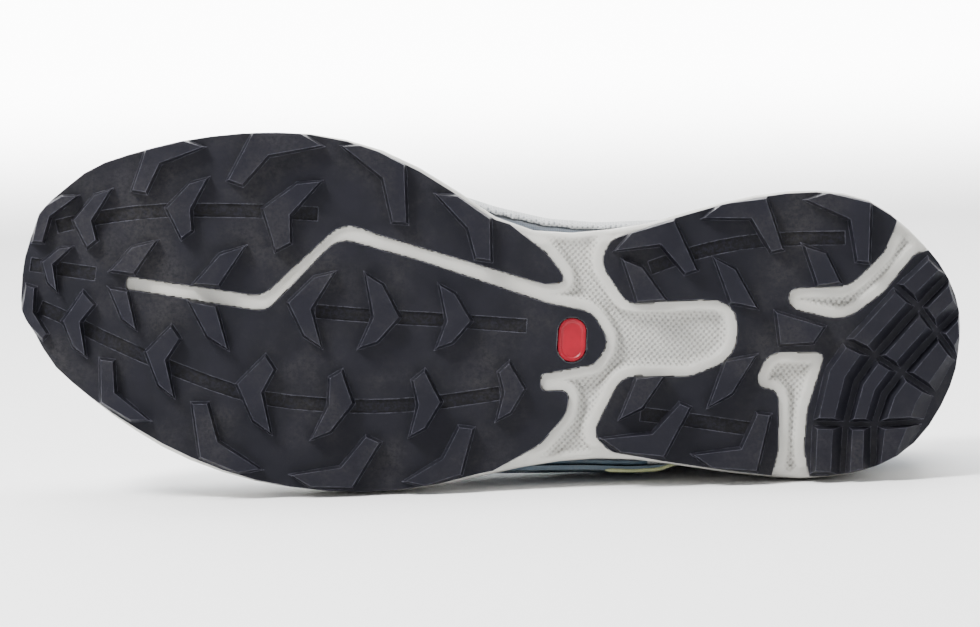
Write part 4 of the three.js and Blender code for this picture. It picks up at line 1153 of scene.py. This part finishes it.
class ShoeSettings(bpy.types.PropertyGroup):
    """Sizes, colours and lights of the shoe."""

    rubber: colour("Rubber", "Outsole rubber", (0.0066, 0.0068, 0.0100))
    rubber_pale: colour("Rubber, mottled", "Paler part of the rubber", (0.0086, 0.0086, 0.0127))
    rubber_lug: colour("Lug faces", "Rubber of the lugs' worn faces", (0.0082, 0.0082, 0.0132))
    rubber_deep: colour("Crumb", "Dark of the crumb strips", (0.004, 0.004, 0.005))
    rubber_speck: colour("Specks", "Pale grains in the rubber", (0.035, 0.035, 0.045))
    # Pale colour of the rubber's edges: wear, and a painted highlight along them.
    rubber_edge_wear_and_highlight: colour("Rubber edge", "Worn edge of the rubber", (0.12, 0.12, 0.15))
    dust: colour("Dust", "Dust on the rubber", (0.30, 0.28, 0.25))
    dirt: colour("Dirt", "Dirt on pale parts", (0.42, 0.38, 0.32))
    foam: colour("Foam", "Midsole foam", (0.45, 0.445, 0.415))
    foam_shade: colour("Foam, mottled", "Greyer part of the foam", (0.41, 0.405, 0.38))
    # Painted shade in the hollows of the foam's small cells.
    foam_pit_shade: colour("Foam pits", "Hollows of the small cells", (0.25, 0.25, 0.235))
    mesh: colour("Mesh", "Threads of the upper's mesh", (0.56, 0.57, 0.575))
    # Painted shade on the floors of the foam's troughs.
    foam_trough_shade: colour("Foam troughs", "Foam of the troughs", (0.40, 0.395, 0.375))
    mesh_deep: colour("Mesh openings", "What shows through the mesh", (0.13, 0.15, 0.17))
    mesh_shade: colour("Mesh gaps", "Gaps of the upper's mesh", (0.30, 0.32, 0.34))
    film: colour("Film", "Overlays of the upper", (0.070, 0.115, 0.155))
    film_shade: colour("Film, mottled", "Darker part of the overlays", (0.050, 0.085, 0.12))
    film_edge: colour("Film edge", "Worn edge of the overlays", (0.26, 0.33, 0.38))
    lining: colour("Lining", "Lining threads", (0.11, 0.13, 0.155))
    lining_shade: colour("Lining gaps", "Gaps of the lining", (0.045, 0.05, 0.065))
    collar: colour("Collar", "Knit of the collar and tongue", (0.085, 0.115, 0.15))
    collar_shade: colour("Collar gaps", "Gaps of the collar's knit", (0.035, 0.05, 0.065))
    lace: colour("Lace", "Lace threads", (0.58, 0.62, 0.34))
    lace_shade: colour("Lace gaps", "Gaps of the lace", (0.36, 0.40, 0.20))
    inset: colour("Inset", "Inset of the sole", (0.29, 0.001, 0.014))
    inset_shade: colour("Inset, mottled", "Darker part of the inset", (0.22, 0.001, 0.010))

    lug_radius: length("Lug radius", "Rounding of the rubber's edges", 0.00028)
    inset_frame: length("Inset frame", "Width of the inset's raised frame", 0.0011)
    inset_step: length("Inset step", "Depth of the inset's middle below its frame", 0.0004)
    foam_grid: length("Foam grid", "Face size of the foam", 0.0009)
    cloth_grid: length("Cloth grid", "Face size of the cloth pieces", 0.00135)
    film_radius: length("Film radius", "Rounding of the overlays' pressed edges", 0.00018)
    board_swell: length("Insole swell", "How far the insole presses into the cloth beside it", 0.0007)
    roll_thickness: length("Roll thickness", "Thickness of the padded collar", 0.0075)
    roll_height: length("Roll height", "Height of the padded collar", 0.0125)
    lace_width: length("Lace width", "Width of the lace", 0.005)
    lace_thickness: length("Lace thickness", "Thickness of the lace", 0.0016)
    eyelet_radius: length("Eyelet radius", "Radius of the eyelets' rims", 0.0026)
    thread_radius: length("Thread radius", "Radius of the stitches' thread", 0.00028)
    piping_radius: length("Piping radius", "Radius of the wing's piping", 0.0006)
    mesh_pitch: amount("Mesh pitch", "Spacing of the mesh's threads, in millimetres", 1.1)
    lining_pitch: amount("Lining pitch", "Spacing of the lining's threads, in millimetres", 0.7)
    lace_pitch: amount("Lace pitch", "Spacing of the lace's threads, in millimetres", 0.75)
    floor_size: length("Floor", "Half width of the floor", 5.0)
    floor_rear: length("Flat floor", "How far the flat floor runs behind the shoe", 2.9)
    bend_radius: length("Bend", "Radius of the backdrop's bend", 2.2)
    camera_distance: length("Camera distance", "From the camera to the tread", 2.4)
    sky: amount("Sky", "Strength of the white surroundings", 0.5)
    key: amount("Key light", "Power of the light from the upper left", 38.0)
    fill: amount("Fill light", "Power of the light from the right", 7.0)
    top: amount("Top light", "Power of the light from above", 44.0)
    back: amount("Back light", "Power of the light on the backdrop", 900.0)


class MakeRubber(bpy.types.Operator):
    """Finish the rubber of the outsole"""

    bl_idname = "shoe.rubber"
    bl_label = "Outsole rubber"

    def execute(self, context):
        make_rubber(context.scene.shoe)
        return {"FINISHED"}


class MakeFoam(bpy.types.Operator):
    """Finish the midsole foam and its inset"""

    bl_idname = "shoe.foam"
    bl_label = "Midsole foam"

    def execute(self, context):
        make_foam(context.scene.shoe)
        return {"FINISHED"}


class MakeUpper(bpy.types.Operator):
    """Finish the mesh upper, its lining and the insole"""

    bl_idname = "shoe.upper"
    bl_label = "Upper and insole"

    def execute(self, context):
        make_upper(context.scene.shoe)
        return {"FINISHED"}


class MakeOverlays(bpy.types.Operator):
    """Finish the overlays of the upper"""

    bl_idname = "shoe.overlays"
    bl_label = "Overlays"

    def execute(self, context):
        make_overlays(context.scene.shoe)
        return {"FINISHED"}


class MakeCollar(bpy.types.Operator):
    """Make the padded collar and finish the tongue"""

    bl_idname = "shoe.collar"
    bl_label = "Collar and tongue"

    def execute(self, context):
        make_collar(context.scene.shoe)
        return {"FINISHED"}


class MakeLaces(bpy.types.Operator):
    """Run the lace through the eyelets"""

    bl_idname = "shoe.laces"
    bl_label = "Lace and eyelets"

    def execute(self, context):
        make_laces(context.scene.shoe)
        return {"FINISHED"}


class MakeTrim(bpy.types.Operator):
    """Sew the stitches and the wing's piping"""

    bl_idname = "shoe.trim"
    bl_label = "Stitches and piping"

    def execute(self, context):
        make_trim(context.scene.shoe)
        return {"FINISHED"}


class MakeStage(bpy.types.Operator):
    """Set the floor, the lights and the camera"""

    bl_idname = "shoe.stage"
    bl_label = "Stage"

    def execute(self, context):
        make_stage(context.scene.shoe)
        return {"FINISHED"}


OPERATORS = (MakeRubber, MakeFoam, MakeUpper, MakeOverlays, MakeCollar, MakeLaces, MakeTrim, MakeStage)


class ShoePanel(bpy.types.Panel):
    """Pieces and settings of the shoe"""

    bl_idname = "VIEW3D_PT_shoe"
    bl_label = "Trail running shoe"
    bl_space_type = "VIEW_3D"
    bl_region_type = "UI"
    bl_category = "Shoe"

    def draw(self, context):
        for operator in OPERATORS:
            self.layout.operator(operator.bl_idname)
        for name in ShoeSettings.__annotations__:
            self.layout.prop(context.scene.shoe, name)


CLASSES = (ShoeSettings, *OPERATORS, ShoePanel)


def register():
    """Registers the classes and gives the scene its settings."""
    for one in CLASSES:
        bpy.utils.register_class(one)
    bpy.types.Scene.shoe = PointerProperty(type=ShoeSettings)


def unregister():
    """Takes the settings and the classes away again."""
    del bpy.types.Scene.shoe
    for one in reversed(CLASSES):
        bpy.utils.unregister_class(one)


def main():
    """Makes every piece in order."""
    register()
    bpy.ops.shoe.stage()
    bpy.ops.shoe.rubber()
    bpy.ops.shoe.foam()
    bpy.ops.shoe.upper()
    bpy.ops.shoe.overlays()
    bpy.ops.shoe.collar()
    bpy.ops.shoe.laces()
    bpy.ops.shoe.trim()


if __name__ == "__main__":
    main()
